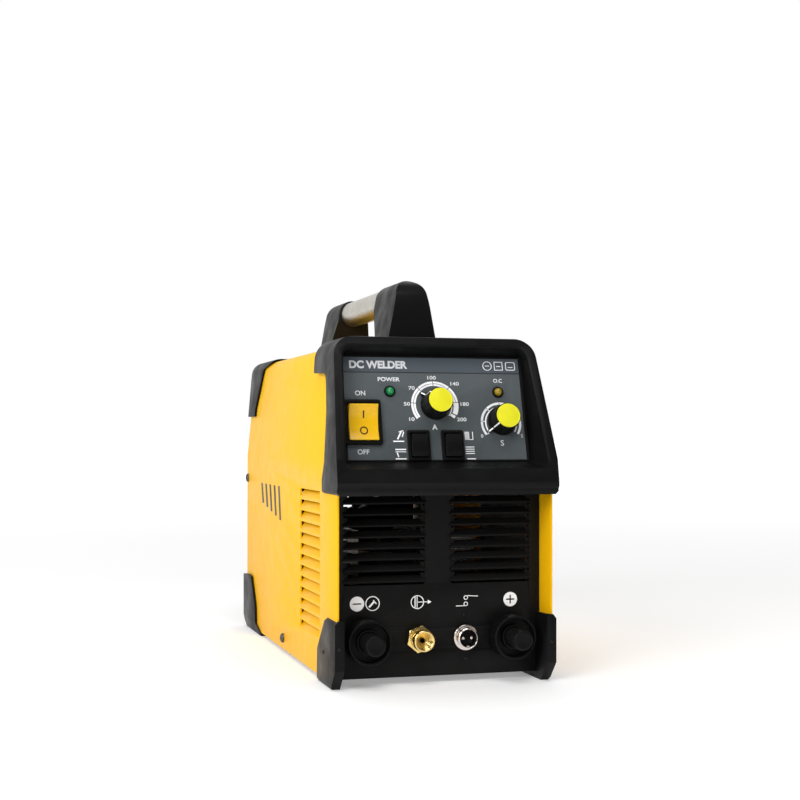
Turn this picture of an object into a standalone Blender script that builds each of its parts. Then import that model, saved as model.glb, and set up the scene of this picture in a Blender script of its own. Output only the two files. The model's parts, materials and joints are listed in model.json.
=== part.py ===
"""Portable inverter TIG welding machine: folded cover, moulded hood, front and rear hardware, and what is inside.

Lengths in this file are millimetres; the builder functions turn them into metres. x runs to the right as
seen from the front, y runs from the cover's front edge to the rear, and z runs up from the floor. The
"machine" empty carries all of it, so that the object's box is centred over the world origin.
"""

import math

import bmesh
import bpy
from mathutils import Matrix, Vector

MM = 0.001
GAP = 0.3

# Whole machine
FRONT_REACH = 9.0
REAR_REACH = 346.0
MIDDLE_Y = (REAR_REACH - FRONT_REACH) / 2
GUARD_HALF = 75.9

# Folded sheet cover
COVER_DEPTH = 338.0
COVER_SHEET = 1.2
COVER_FOOT = 3.0
COVER_TOP = 226.0
COVER_CORNER = 9.0
CORNER_X = 57.6
CORNER_Z = COVER_TOP - COVER_CORNER
KNEE_Z = 148.0
LEAN = math.atan(0.1044)
COVER_HALF = CORNER_X + COVER_CORNER / math.cos(LEAN) + (CORNER_Z - KNEE_Z) * math.tan(LEAN)
COVER_INNER = COVER_HALF - COVER_SHEET

# Side louvres, lanced into each side wall
LOUVRES = 13
LOUVRE_PITCH = 7.8
LOUVRE_FIRST = 127.2
LOUVRE_SLOT = 5.6
LOUVRE_PUSH = 3.2
LOUVRE_FRONT = 51.0
LOUVRE_REAR = 115.0

# Front feet: where their sloping face starts, its height and run, and the wall left behind it
TOE_Y = -2.2
TOE_RISE = 13.5
TOE_RUN = 12.7
TOE_WALL = 1.9

# Front panel and what stands in its connector row
PANEL_Y = 20.3
PANEL_SHEET = 3.0
PANEL_HALF = 72.3
PANEL_LOW = 4.5
PANEL_HIGH = 141.0
SLATS = 8
BLOCK_INNER = 9.2
BLOCK_OUTER = 64.8
BLOCK_LOW = 66.0
BLOCK_HIGH = 125.5
ROW_Z = 29.8
DINSE_X = 50.2
GAS_X = -13.6
TORCH_X = 18.5
DINSE_SHANK = 9.0
GAS_SHANK = 6.0
TORCH_SHANK = 7.0

# Hood and the control plate sunk in it
HOOD_HALF = 75.6
HOOD_TOP = 231.0
HOOD_LOW = 126.0
HOOD_CORNER = 14.0
RIM_Y = -5.3
RIM_Z = 149.5
RIM_SLOPE = 0.403
PLATE_TILT = math.radians(15)
PLATE_Y = 26.57
PLATE_Z = 183.2
PLATE_HALF = 64.3
PLATE_CORNER = 1.5
PLATE_RISE = 36.55
PLATE_SHEET = 2.0

# Controls, placed on the plate: across it and up it from its centre
POWER_AT = (-51.0, -10.2)
MODE_AT = ((-13.5, -26.0), (10.0, -26.0))
CURRENT_AT = (-0.1, 1.9)
SLOPE_AT = (46.5, -8.8)
LED_AT = ((-31.0, 11.5), (45.4, 11.5))
BUSHING = 3.4
LED_BODY = 3.4

# Handle
TUBE_Z = 264.5
TUBE_RADIUS = 10.0
TUBE_WALL = 1.5
TUBE_FRONT = 96.0
TUBE_REAR = 291.0
SLEEVE = 11.4
POST_BASE = 18.3

# Rear panel, fan and inlets
REAR_Y = 326.0
REAR_SHEET = 1.5
FAN_Z = 140.0
FAN_HALF = 46.0
FAN_BORE = 43.5
FAN_DEPTH = 25.0
FAN_FRONT = REAR_Y - GAP - FAN_DEPTH
GLAND_AT = (-38.0, 42.0)
INLET_AT = (38.0, 42.0)
GLAND_SHANK = 8.0
INLET_SHANK = 5.0

COLOURS = {
    "yellow_paint": ((0.93, 0.56, 0.02), 0.35, 0.0),
    "black_plastic": ((0.02, 0.02, 0.02), 0.55, 0.0),
    "grey_plate": ((0.07, 0.075, 0.085), 0.5, 0.0),
    "yellow_plastic": ((0.9, 0.75, 0.02), 0.4, 0.0),
    "amber_plastic": ((0.85, 0.5, 0.02), 0.35, 0.0),
    "green_lens": ((0.01, 0.3, 0.06), 0.2, 0.0),
    "amber_lens": ((0.5, 0.33, 0.01), 0.2, 0.0),
    "brass": ((0.75, 0.5, 0.18), 0.3, 1.0),
    "nickel": ((0.75, 0.72, 0.7), 0.2, 1.0),
    "steel": ((0.45, 0.45, 0.46), 0.4, 1.0),
    "aluminium": ((0.6, 0.61, 0.61), 0.35, 1.0),
    "circuit_board": ((0.02, 0.15, 0.05), 0.5, 0.0),
    "ferrite": ((0.05, 0.05, 0.055), 0.6, 0.0),
    "copper_winding": ((0.5, 0.2, 0.07), 0.4, 0.6),
    "capacitor_sleeve": ((0.02, 0.03, 0.08), 0.4, 0.0),
    "blue_hose": ((0.03, 0.1, 0.3), 0.5, 0.0),
}

FRONT_VIEW = (90, 0, 0)
SIDE_VIEW = (90, 0, 90)
BACK_VIEW = (90, 0, 180)


# ---- scene, materials and objects


def clear_scene():
    for obj in list(bpy.data.objects):
        bpy.data.objects.remove(obj)
    for mesh in list(bpy.data.meshes):
        bpy.data.meshes.remove(mesh)


def new_collection(name):
    group = bpy.data.collections.new(name)
    bpy.context.scene.collection.children.link(group)
    return group


def material(slot):
    if slot in bpy.data.materials:
        return bpy.data.materials[slot]
    colour, roughness, metallic = COLOURS[slot]
    made = bpy.data.materials.new(slot)
    made.use_nodes = True
    shader = made.node_tree.nodes["Principled BSDF"]
    shader.inputs["Base Color"].default_value = (*colour, 1)
    shader.inputs["Roughness"].default_value = roughness
    shader.inputs["Metallic"].default_value = metallic
    return made


def place(obj, frame, at, turn):
    obj.parent = frame
    obj.location = Vector(at) * MM
    obj.rotation_euler = [math.radians(angle) for angle in turn]
    return obj


def empty(name, frame, at, turn=(0, 0, 0)):
    obj = bpy.data.objects.new(name, None)
    parts.objects.link(obj)
    return place(obj, frame, at, turn)


def part(name, mesh, slot, frame, at=(0, 0, 0), turn=(0, 0, 0)):
    """A named sub-part, with its material, in the collection of parts."""
    obj = bpy.data.objects.new(name, mesh)
    mesh.materials.clear()
    mesh.materials.append(material(slot))
    mesh.shade_smooth()
    mesh.set_sharp_from_angle(angle=math.radians(35))
    parts.objects.link(obj)
    return place(obj, frame, at, turn)


def tool(mesh, frame, at=(0, 0, 0), turn=(0, 0, 0)):
    """A shape that only cuts, trims or joins other shapes."""
    obj = bpy.data.objects.new(mesh.name, mesh)
    obj.hide_render = True
    obj.display_type = "WIRE"
    tools.objects.link(obj)
    return place(obj, frame, at, turn)


def combine(obj, other, operation, solver="EXACT"):
    step = obj.modifiers.new(f"{operation.lower()} {other.name}", "BOOLEAN")
    step.operation = operation
    step.solver = solver
    step.object = other
    return obj


def cut(obj, other):
    return combine(obj, other, "DIFFERENCE")


def join(obj, other):
    return combine(obj, other, "UNION")


def trim(obj, other):
    return combine(obj, other, "INTERSECT")


# ---- shapes


def mesh_of(name, shape):
    bmesh.ops.recalc_face_normals(shape, faces=shape.faces)
    mesh = bpy.data.meshes.new(name)
    shape.to_mesh(mesh)
    shape.free()
    return mesh


def boxes(name, *blocks):
    """One mesh of boxes, each given as (low corner, high corner) or (size, matrix)."""
    shape = bmesh.new()
    for low, high in blocks:
        if isinstance(high, Matrix):
            spot = Matrix.Translation(high.translation * MM) @ high.to_3x3().to_4x4()
            stretch = Matrix.Diagonal((*[side * MM for side in low], 1))
        else:
            low, high = Vector(low), Vector(high)
            spot = Matrix.Translation((low + high) * MM / 2)
            stretch = Matrix.Diagonal((*((high - low) * MM), 1))
        bmesh.ops.create_cube(shape, size=1, matrix=spot @ stretch)
    return mesh_of(name, shape)


def rods(name, *rods_along_z, sides=24):
    """One mesh of upright rods or cones, each given as (centre, low radius, high radius, low z, high z)."""
    shape = bmesh.new()
    for (x, y), low_radius, high_radius, low, high in rods_along_z:
        spot = Matrix.Translation(Vector((x, y, (low + high) / 2)) * MM)
        bmesh.ops.create_cone(
            shape, cap_ends=True, segments=sides, matrix=spot, depth=(high - low) * MM,
            radius1=low_radius * MM, radius2=high_radius * MM,
        )
    return mesh_of(name, shape)


def converted(curve):
    """The mesh of a curve, with its caps welded on."""
    holder = bpy.data.objects.new(curve.name, curve)
    parts.objects.link(holder)
    ready = holder.evaluated_get(bpy.context.evaluated_depsgraph_get())
    mesh = bpy.data.meshes.new_from_object(ready)
    bpy.data.objects.remove(holder)
    bpy.data.curves.remove(curve)
    shape = bmesh.new()
    shape.from_mesh(mesh)
    bpy.data.meshes.remove(mesh)
    bmesh.ops.remove_doubles(shape, verts=shape.verts, dist=MM / 100)
    return shape


def slab(name, thickness, *loops):
    """A flat outline, and any holes in it, given some thickness along local z."""
    curve = bpy.data.curves.new(name, "CURVE")
    curve.dimensions = "2D"
    curve.fill_mode = "BOTH"
    curve.extrude = thickness * MM / 2
    for loop in loops:
        spline = curve.splines.new("POLY")
        spline.points.add(len(loop) - 1)
        for point, (x, y) in zip(spline.points, loop):
            point.co = (x * MM, y * MM, 0, 1)
        spline.use_cyclic_u = True
    return mesh_of(name, converted(curve))


def pipe(name, radius, route, per_span=4):
    """A round tube along a smooth curve through the route's points."""
    curve = bpy.data.curves.new(name, "CURVE")
    curve.dimensions = "3D"
    curve.bevel_depth = radius * MM
    curve.bevel_resolution = 2
    curve.use_fill_caps = True
    path = smooth_route([Vector(point) for point in route], per_span)
    spline = curve.splines.new("POLY")
    spline.points.add(len(path) - 1)
    for point, spot in zip(spline.points, path):
        point.co = (*(spot * MM), 1)
    return mesh_of(name, converted(curve))


def smooth_route(points, per_span):
    """Points read from a Catmull-Rom curve through the given ones."""
    padded = [2 * points[0] - points[1], *points, 2 * points[-1] - points[-2]]
    path = []
    for a, b, c, d in zip(padded, padded[1:], padded[2:], padded[3:]):
        for step in range(per_span):
            t = step / per_span
            path.append(
                0.5 * (2 * b + (c - a) * t + (2 * a - 5 * b + 4 * c - d) * t**2 + (3 * b - a - 3 * c + d) * t**3)
            )
    return [*path, points[-1]]


def turned(name, profile, slot, frame, at=(0, 0, 0), turn=(0, 0, 0), steps=28, closed=False):
    """A profile of (radius, z) turned round local z; it runs down its outer side."""
    shape = bmesh.new()
    dots = [shape.verts.new((radius * MM, 0, z * MM)) for radius, z in profile]
    for a, b in zip(dots, dots[1:] + dots[:1] if closed else dots[1:]):
        shape.edges.new((a, b))
    mesh = bpy.data.meshes.new(name)
    shape.to_mesh(mesh)
    shape.free()
    obj = part(name, mesh, slot, frame, at, turn)
    screw = obj.modifiers.new("turn", "SCREW")
    screw.steps = screw.render_steps = steps
    screw.use_merge_vertices = True
    screw.merge_threshold = 0.00005
    screw.use_smooth_shade = True
    return obj


def folded(name, profile, front, rear, sheet, slot):
    """Sheet metal folded to an open profile of (x, z) whose outer side is on its left, from front to rear."""
    shape = bmesh.new()
    rows = [[shape.verts.new((x * MM, y * MM, z * MM)) for x, z in profile] for y in (front, rear)]
    for a, b, c, d in zip(rows[0], rows[0][1:], rows[1][1:], rows[1]):
        shape.faces.new((a, b, c, d))
    mesh = bpy.data.meshes.new(name)
    shape.to_mesh(mesh)
    shape.free()
    obj = part(name, mesh, slot, machine)
    shell = obj.modifiers.new("sheet", "SOLIDIFY")
    shell.thickness = sheet * MM
    shell.offset = -1
    shell.use_even_offset = True
    return obj


def loft(name, rings):
    """A closed skin over rings of equally many points."""
    shape = bmesh.new()
    rows = [[shape.verts.new(Vector(point) * MM) for point in ring] for ring in rings]
    for row, after in zip(rows, rows[1:]):
        for i in range(len(row)):
            j = (i + 1) % len(row)
            shape.faces.new((row[i], row[j], after[j], after[i]))
    shape.faces.new(rows[0])
    shape.faces.new(rows[-1])
    return mesh_of(name, shape)


def soften(obj, width, segments=1):
    """Rounds the long edges of a shape."""
    bevel = obj.modifiers.new("round", "BEVEL")
    bevel.width = width * MM
    bevel.segments = segments
    bevel.limit_method = "ANGLE"
    bevel.angle_limit = math.radians(50)
    return obj


# ---- outlines


def arc(centre, radius, start, end, count):
    """Points on an arc, with its angles in degrees."""
    angles = [math.radians(start + (end - start) * i / count) for i in range(count + 1)]
    return [(centre[0] + radius * math.cos(a), centre[1] + radius * math.sin(a)) for a in angles]


def circle(centre, radius, count=32):
    return arc(centre, radius, 0, 360, count)[:-1]


def rectangle(centre, width, height):
    (x, y), w, h = centre, width / 2, height / 2
    return [(x - w, y - h), (x + w, y - h), (x + w, y + h), (x - w, y + h)]


def rounded_frame(top_half, low_half, top, low, top_radius, low_radius, count=4):
    """A four-sided outline, symmetric about x = 0, with round corners."""
    corners = (
        ((top_half - top_radius, top - top_radius), top_radius, 0),
        ((top_radius - top_half, top - top_radius), top_radius, 90),
        ((low_radius - low_half, low + low_radius), low_radius, 180),
        ((low_half - low_radius, low + low_radius), low_radius, 270),
    )
    return [dot for centre, radius, start in corners for dot in arc(centre, radius, start, start + 90, count)]


def mirrored(points):
    return [(-x, y) for x, y in reversed(points)]


def cover_side(offset=0.0, foot=COVER_FOOT):
    """The cover's right half from its foot to its top, moved outwards by an offset."""
    tilt = math.degrees(LEAN)
    knee = KNEE_Z + offset * math.tan(LEAN / 2)
    bend = arc((CORNER_X, CORNER_Z), COVER_CORNER + offset, tilt, 90, 5)
    return [(COVER_HALF + offset, foot), (COVER_HALF + offset, knee), *bend]


def cover_outline(offset=0.0, foot=COVER_FOOT):
    half = cover_side(offset, foot)
    return half + mirrored(half)


def front_prism(name, outline, front, rear):
    """A tool with the same front view all along y."""
    return tool(slab(name, rear - front, outline), machine, (0, (front + rear) / 2, 0), FRONT_VIEW)


def side_prism(name, outline, left, right):
    """A tool with the same side view, as (y, z), all along x."""
    return tool(slab(name, right - left, outline), machine, ((left + right) / 2, 0, 0), SIDE_VIEW)


def toe_wedge(offset):
    """The side view of all that lies in front of the front feet's sloping face, moved inwards by an offset."""
    slope = TOE_RISE / TOE_RUN
    lift = TOE_RISE + slope * TOE_Y + offset * math.hypot(1, slope)
    return [(-10, -5), (-10, lift + 10 * slope), ((lift + 5) / slope, -5)]


# ---- casing


def build_cover():
    cover = folded("cover_shell", cover_outline()[::-1], 0, COVER_DEPTH, COVER_SHEET, "yellow_paint")
    nose = [(-5, KNEE_Z - 1), (20.5, KNEE_Z - 1), (42, 227.3), (42, 240), (-5, 240)]
    cut(cover, side_prism("cover_nose_cut", nose, -90, 90))
    cut(cover, side_prism("cover_toe_cut", toe_wedge(TOE_WALL + GAP), -90, 90))
    tilt = math.atan2(LOUVRE_PUSH, LOUVRE_SLOT)
    length = math.hypot(LOUVRE_PUSH, LOUVRE_SLOT)
    slots, slats = [], []
    for side in (-1, 1):
        for i in range(LOUVRES):
            top = LOUVRE_FIRST - i * LOUVRE_PITCH
            low = top - LOUVRE_SLOT
            inner, outer = sorted((side * (COVER_INNER - 2), side * (COVER_HALF + 1)))
            slots.append(((inner, LOUVRE_FRONT - 0.5, low), (outer, LOUVRE_REAR + 0.5, top)))
            middle = Vector((side * (COVER_HALF - 0.9 - LOUVRE_PUSH / 2), (LOUVRE_FRONT + LOUVRE_REAR) / 2,
                             low + LOUVRE_SLOT / 2 - 0.4))
            spot = Matrix.Translation(middle) @ Matrix.Rotation(-side * tilt, 4, "Y")
            slats.append(((1.0, LOUVRE_REAR - LOUVRE_FRONT, length), spot))
    cut(cover, tool(boxes("side_louvre_slots", *slots), machine))
    join(cover, tool(boxes("side_louvre_slats", *slats), machine))


def build_base():
    half, low, high = COVER_INNER - GAP, 4.6, 18.0
    profile = [(half, high), (half, low), (-half, low), (-half, high)]
    folded("base_tray", profile, PANEL_Y + PANEL_SHEET + GAP, REAR_Y - GAP, COVER_SHEET, "steel")


def build_front_panel():
    middle = (PANEL_LOW + PANEL_HIGH) / 2
    outline = rectangle((0, middle), 2 * PANEL_HALF, PANEL_HIGH - PANEL_LOW)
    block_x = (BLOCK_INNER + BLOCK_OUTER) / 2
    block = (BLOCK_OUTER - BLOCK_INNER, BLOCK_HIGH - BLOCK_LOW)
    loops = [rectangle((side * block_x, (BLOCK_LOW + BLOCK_HIGH) / 2), *block) for side in (-1, 1)]
    holes = [(-DINSE_X, DINSE_SHANK), (DINSE_X, DINSE_SHANK), (GAS_X, GAS_SHANK), (TORCH_X, TORCH_SHANK)]
    loops += [circle((x, ROW_Z), radius + GAP) for x, radius in holes]
    mesh = slab("front_panel", PANEL_SHEET, outline, *loops)
    panel = part("front_panel", mesh, "black_plastic", machine, (0, PANEL_Y + PANEL_SHEET / 2, 0), FRONT_VIEW)
    pitch = (BLOCK_HIGH - BLOCK_LOW) / SLATS
    tilt = Matrix.Rotation(math.radians(35), 4, "X")
    slats = []
    for side in (-1, 1):
        for i in range(SLATS):
            centre = (side * block_x, PANEL_Y + PANEL_SHEET / 2, BLOCK_LOW + (i + 0.5) * pitch)
            slats.append(((block[0] + 1, 7.0, 1.5), Matrix.Translation(centre) @ tilt))
    join(panel, tool(boxes("front_louvre_slats", *slats), machine))


def hood_front_outline():
    tilt = math.radians(4)
    top_half = HOOD_HALF - (HOOD_TOP - HOOD_CORNER - RIM_Z) * math.tan(tilt)
    half = [(HOOD_HALF, HOOD_LOW), (HOOD_HALF, RIM_Z)]
    half += arc((top_half - HOOD_CORNER, HOOD_TOP - HOOD_CORNER), HOOD_CORNER, 4, 90, 6)
    return half + mirrored(half)


def rim_y(z):
    return RIM_Y + RIM_SLOPE * (z - RIM_Z)


def plate_point(x, up, out=0.0):
    """A place on the control plate, in the machine's frame."""
    return Vector((
        x,
        PLATE_Y + up * math.sin(PLATE_TILT) - out * math.cos(PLATE_TILT),
        PLATE_Z + up * math.cos(PLATE_TILT) + out * math.sin(PLATE_TILT),
    ))


def plate_outline(offset=0.0):
    half, rise, corner = PLATE_HALF + offset, PLATE_RISE + offset, PLATE_CORNER + offset
    return rounded_frame(half, half, rise, -rise, corner, corner)


def build_hood():
    mesh = slab("hood_bezel", 120, hood_front_outline())
    hood = part("hood_bezel", mesh, "black_plastic", machine, (0, 40, 0), FRONT_VIEW)
    side = [(-8.3, HOOD_LOW), (-8.3, 134.4), (RIM_Y, RIM_Z), (rim_y(226), 226), (29, HOOD_TOP), (60, 230.6),
            (81, 229), (81, 208), (43, 206.7), (33.6, 181.8), (30, KNEE_Z), (37.5, 136), (37.5, HOOD_LOW)]
    trim(hood, side_prism("hood_side_trim", side, -90, 90))
    behind = [(PANEL_Y - GAP, 100), (PANEL_Y - GAP, KNEE_Z), (39, 218.8), (39, 240), (90, 240), (90, 100)]
    cavity = front_prism("hood_cavity", cover_outline(GAP, 90), -20, 100)
    trim(cavity, side_prism("hood_cavity_trim", behind, -90, 90))
    cut(hood, cavity)
    slots = [sorted((side * (COVER_INNER - GAP), side * (COVER_HALF + GAP))) for side in (-1, 1)]
    walls = [((low, -GAP, 100), (high, PANEL_Y + 3, KNEE_Z - 0.6)) for low, high in slots]
    cut(hood, tool(boxes("hood_wall_slots", *walls), machine))
    rim = [Vector((x, rim_y(z), z)) for x, z in rounded_frame(64.4, 69.4, 224.5, 142.8, 8, 5)]
    window = plate_outline(GAP)
    face = [plate_point(x, up) for x, up in window]
    back = [plate_point(x, up, -5) for x, up in window]
    mouth = [outer + (outer - inner) * 0.5 for outer, inner in zip(rim, face)]
    cut(hood, tool(loft("hood_recess", [mouth, face, back]), machine))


def guard(name, side, side_view, front_view, hollows, nose=None):
    """A moulded corner guard: a side view and a front view crossed, less hollows that stop short of its nose."""
    mesh = slab(name, 40, side_view)
    obj = part(name, mesh, "black_plastic", machine, (side * 62, 0, 0), SIDE_VIEW)
    outline = front_view if side > 0 else mirrored(front_view)
    trim(obj, front_prism(f"{name}_front_trim", outline, -30, 370))
    blocks = []
    for (x0, y0, z0), (x1, y1, z1) in hollows:
        low, high = sorted((side * x0, side * x1))
        blocks.append(((low, y0, z0), (high, y1, z1)))
    for number, block in enumerate(blocks):
        hollow = tool(boxes(f"{name}_hollow_{number}", block), machine)
        if nose:
            cut(hollow, side_prism(f"{name}_nose_{number}", nose, -90, 90))
        cut(obj, hollow)


def build_guards():
    wall = (COVER_INNER - GAP, COVER_HALF + GAP)
    low_front = [(TOE_Y, TOE_RISE), (TOE_Y, 45.8), (26.3, 45), (50.5, 21.8), (51.3, 1.6), (50, 0),
                 (TOE_Y + TOE_RUN, 0)]
    front_leaf = [(GUARD_HALF, 2), (74.9, 0), (69.5, 0), (69.5, 45), (70.5, 46.2), (73.2, 46.2), (GUARD_HALF, 43)]
    low_rear = [(REAR_REACH, 6), (REAR_REACH, 45), (319, 46.5), (309, 45.6), (291, 22.5), (290, 8), (271.5, 3.5),
                (271.5, 0), (340, 0)]
    rear_leaf = [(GUARD_HALF, 10), (74, 0), (56, 0), (56, 12), (64.5, 22), (64.5, 46), (66, 48.5), (GUARD_HALF, 48.5)]
    front_hollows = (
        ((wall[0], -GAP, COVER_FOOT - GAP), (wall[1], 60, 60)),
        ((71.2, 2.5, 4.2), (wall[0] + 0.01, 60, 60)),
        ((40, PANEL_Y - GAP, 4.2), (71.3, 60, 60)),
    )
    rear_hollows = (
        ((40, 260, 4.2), (wall[1], COVER_DEPTH + GAP, 60)),
        ((wall[0], 260, COVER_FOOT - GAP), (wall[1], COVER_DEPTH + GAP, 4.3)),
    )
    for side, word in ((-1, "left"), (1, "right")):
        guard(f"front_guard_{word}", side, low_front, front_leaf, front_hollows, toe_wedge(TOE_WALL))
        guard(f"rear_guard_{word}", side, low_rear, rear_leaf, rear_hollows)
        build_top_guard(f"rear_top_guard_{word}", side)


def build_top_guard(name, side):
    """The guard that wraps a rear top corner of the cover."""
    view = [(271, 232), (REAR_REACH, 232), (REAR_REACH, 212), (342.5, 181), (312, 181), (312, 187), (291.5, 220),
            (271, 225)]
    obj = part(name, slab(name, 90, view), "black_plastic", machine, (side * 45, 0, 0), SIDE_VIEW)
    trim(obj, front_prism(f"{name}_outer_trim", cover_outline(2.0, 100), 200, 400))
    cut(obj, front_prism(f"{name}_inner_cut", cover_outline(GAP, 90), 200, COVER_DEPTH + GAP))
    inner, edge = sorted((side * -20, side * 48))
    cut(obj, tool(boxes(f"{name}_end_cut", ((inner, 200, 100), (edge, 400, 300))), machine))
    inner, edge = sorted((side * 40, side * 60))
    cut(obj, tool(boxes(f"{name}_opening_cut", ((inner, COVER_DEPTH + GAP, 100), (edge, 400, 219))), machine))


# ---- handle


def post(name, side_view, low_bore, high_bore):
    """A handle post: a tapered foot that runs into a round sleeve for the tube."""
    half = [(POST_BASE, COVER_TOP + GAP), (POST_BASE, COVER_TOP + 3)]
    half += arc((0, TUBE_Z), SLEEVE, 8, 90, 6)
    outline = half + mirrored(half[:-1])
    ys = [y for y, _ in side_view]
    middle, depth = (min(ys) + max(ys)) / 2, max(ys) - min(ys)
    obj = part(name, slab(name, depth + 2, outline), "black_plastic", machine, (0, middle, 0), FRONT_VIEW)
    trim(obj, side_prism(f"{name}_side_trim", side_view, -30, 30))
    bore = rods(f"{name}_bore", ((0, TUBE_Z), TUBE_RADIUS + GAP, TUBE_RADIUS + GAP, -high_bore, -low_bore))
    cut(obj, tool(bore, machine, (0, 0, 0), FRONT_VIEW))


def build_handle():
    low, high = COVER_TOP + GAP, TUBE_Z + SLEEVE + 1
    front = [(82, low), (81.5, 258), (83.5, 266), (89, 273), (99, high), (137, high), (140.5, 272), (140.5, 258),
             (130, 246), (121, 236), (117, low)]
    rear = [(304, low), (306, 258), (304.5, 268), (301, 274), (296, high), (260, high), (256, 272), (256, 258),
            (263, 246), (268, 236), (270, low)]
    post("handle_front_post", front, TUBE_FRONT - GAP, 160)
    post("handle_rear_post", rear, 250, TUBE_REAR + GAP)
    inner = TUBE_RADIUS - TUBE_WALL
    length = TUBE_REAR - TUBE_FRONT
    profile = [(TUBE_RADIUS, length), (TUBE_RADIUS, 0), (inner, 0), (inner, length)]
    turned("handle_tube", profile, "aluminium", machine, (0, TUBE_REAR, TUBE_Z), FRONT_VIEW, closed=True)


# ---- controls


def build_control_plate():
    loops = [rectangle(POWER_AT, 22.3, 29.3)] + [rectangle(at, 13.5, 19.4) for at in MODE_AT]
    loops += [circle(at, BUSHING + GAP, 20) for at in (CURRENT_AT, SLOPE_AT)]
    loops += [circle(at, LED_BODY + GAP, 20) for at in LED_AT]
    mesh = slab("control_plate", PLATE_SHEET, plate_outline(), *loops)
    part("control_plate", mesh, "grey_plate", controls, (0, 0, -PLATE_SHEET / 2))
    board = slab("control_board", 1.6, rectangle((8, 0), 90, 56))
    part("control_board", board, "circuit_board", controls, (0, 0, -26))


def rocker_switch(housing, rocker, at, bezel, body, well, lift, slot, tilt):
    """A snap-in rocker switch: a housing with a well, and a rocker that tips in it about local x."""
    (wide, tall), (body_wide, body_tall, deep), (well_wide, well_tall) = bezel, body, well
    shell = part(housing, boxes(housing, ((-wide / 2, -tall / 2, GAP), (wide / 2, tall / 2, lift))),
                 "black_plastic", controls, (*at, 0))
    blades = [((x - 2.4, y - 0.4, -deep - 6), (x + 2.4, y + 0.4, -deep + 1))
              for x in (-body_wide / 4, body_wide / 4) for y in (-body_tall / 4, body_tall / 4)]
    trunk = ((-body_wide / 2, -body_tall / 2, -deep), (body_wide / 2, body_tall / 2, lift - 0.2))
    spot = (*at, 0)
    join(shell, tool(boxes(f"{housing}_trunk", trunk), controls, spot))
    join(shell, tool(boxes(f"{housing}_blades", *blades), controls, spot))
    hollow = ((-well_wide / 2, -well_tall / 2, -deep + 3), (well_wide / 2, well_tall / 2, lift + 1))
    cut(shell, tool(boxes(f"{housing}_well", hollow), controls, spot))
    reach = well_tall / 2 - 0.95
    top = lift + 2.9
    face = arc((0, top + 26), 28, 270 - math.degrees(reach / 28), 270 + math.degrees(reach / 28), 8)
    rise = face[0][1] - top
    face = [(y, z - rise) for y, z in face]
    outline = [(-reach * 0.8, -4.5), (reach * 0.8, -4.5), (reach, -0.5), *reversed(face), (-reach, -0.5)]
    mesh = slab(rocker, well_wide - 0.6, outline)
    mesh.transform(Matrix.Rotation(math.radians(90), 4, "Z") @ Matrix.Rotation(math.radians(90), 4, "X"))
    obj = part(rocker, mesh, slot, controls, (*at, 0), (tilt, 0, 0))
    soften(obj, 0.4)


def build_switches():
    rocker_switch("power_switch_housing", "power_rocker", POWER_AT, (25.2, 30.8), (21.6, 28.6, 20),
                  (20.6, 26.0), 2.6, "amber_plastic", 8)
    for word, at in zip(("left", "right"), MODE_AT):
        rocker_switch(f"mode_switch_housing_{word}", f"mode_rocker_{word}", at, (15.3, 20.6), (12.8, 18.7, 15),
                      (11.8, 17.0), 2.0, "black_plastic", 9)


def build_dial(word, at, pointing):
    """A knob with its coloured cap on a shaft, and the potentiometer behind the plate."""
    spot = (*at, 0)
    skirt = [(0, 14), (8.2, 14), (9, 13.2), (9.3, 5), (10.2, 2.6), (10.2, 0.6), (5, 0.6), (5, 8), (3.2, 8),
             (3.2, 12), (0, 12)]
    knob = turned(f"{word}_knob", skirt, "black_plastic", controls, spot, (0, 0, pointing), steps=28)
    root = [Vector(dot) for dot in ((8.6, -2.4, 0.6), (8.6, 2.4, 0.6), (8.6, 2.0, 4.4), (8.6, -2.0, 4.4))]
    tip = [Vector(dot) for dot in ((12.9, -0.9, 0.6), (12.9, 0.9, 0.6), (12.9, 0.7, 1.5), (12.9, -0.7, 1.5))]
    nose = loft(f"{word}_knob_nose", [root, tip])
    combine(knob, tool(nose, controls, spot, (0, 0, pointing)), "UNION", "MANIFOLD")
    cap = [(0, 15.1), (7.5, 15.1), (8.2, 14.6), (8.2, 14.3), (0, 14.3)]
    turned(f"{word}_knob_cap", cap, "yellow_plastic", controls, spot, (0, 0, pointing), steps=28)
    shaft = [(0, 11.7), (2.9, 11.7), (2.9, -9), (0, -9)]
    turned(f"{word}_shaft", shaft, "nickel", controls, spot, (0, 0, pointing), steps=16)
    body = [(BUSHING, 5.5), (BUSHING, -3), (8, -3), (8, -13), (3.1, -13), (3.1, 5.5)]
    turned(f"{word}_potentiometer", body, "steel", controls, spot, steps=20, closed=True)


def build_leds():
    dome = [(r, z + 1.5) for r, z in reversed(arc((0, 0), 2.6, 0, 90, 3))]
    profile = [(0, dome[0][1]), *dome[1:], (3.9, 1.4), (3.9, GAP), (LED_BODY, GAP), (LED_BODY, -7), (0, -7)]
    for word, slot, at in zip(("power", "overload"), ("green_lens", "amber_lens"), LED_AT):
        turned(f"{word}_led", profile, slot, controls, (*at, 0), steps=16)


# ---- connector row


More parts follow.
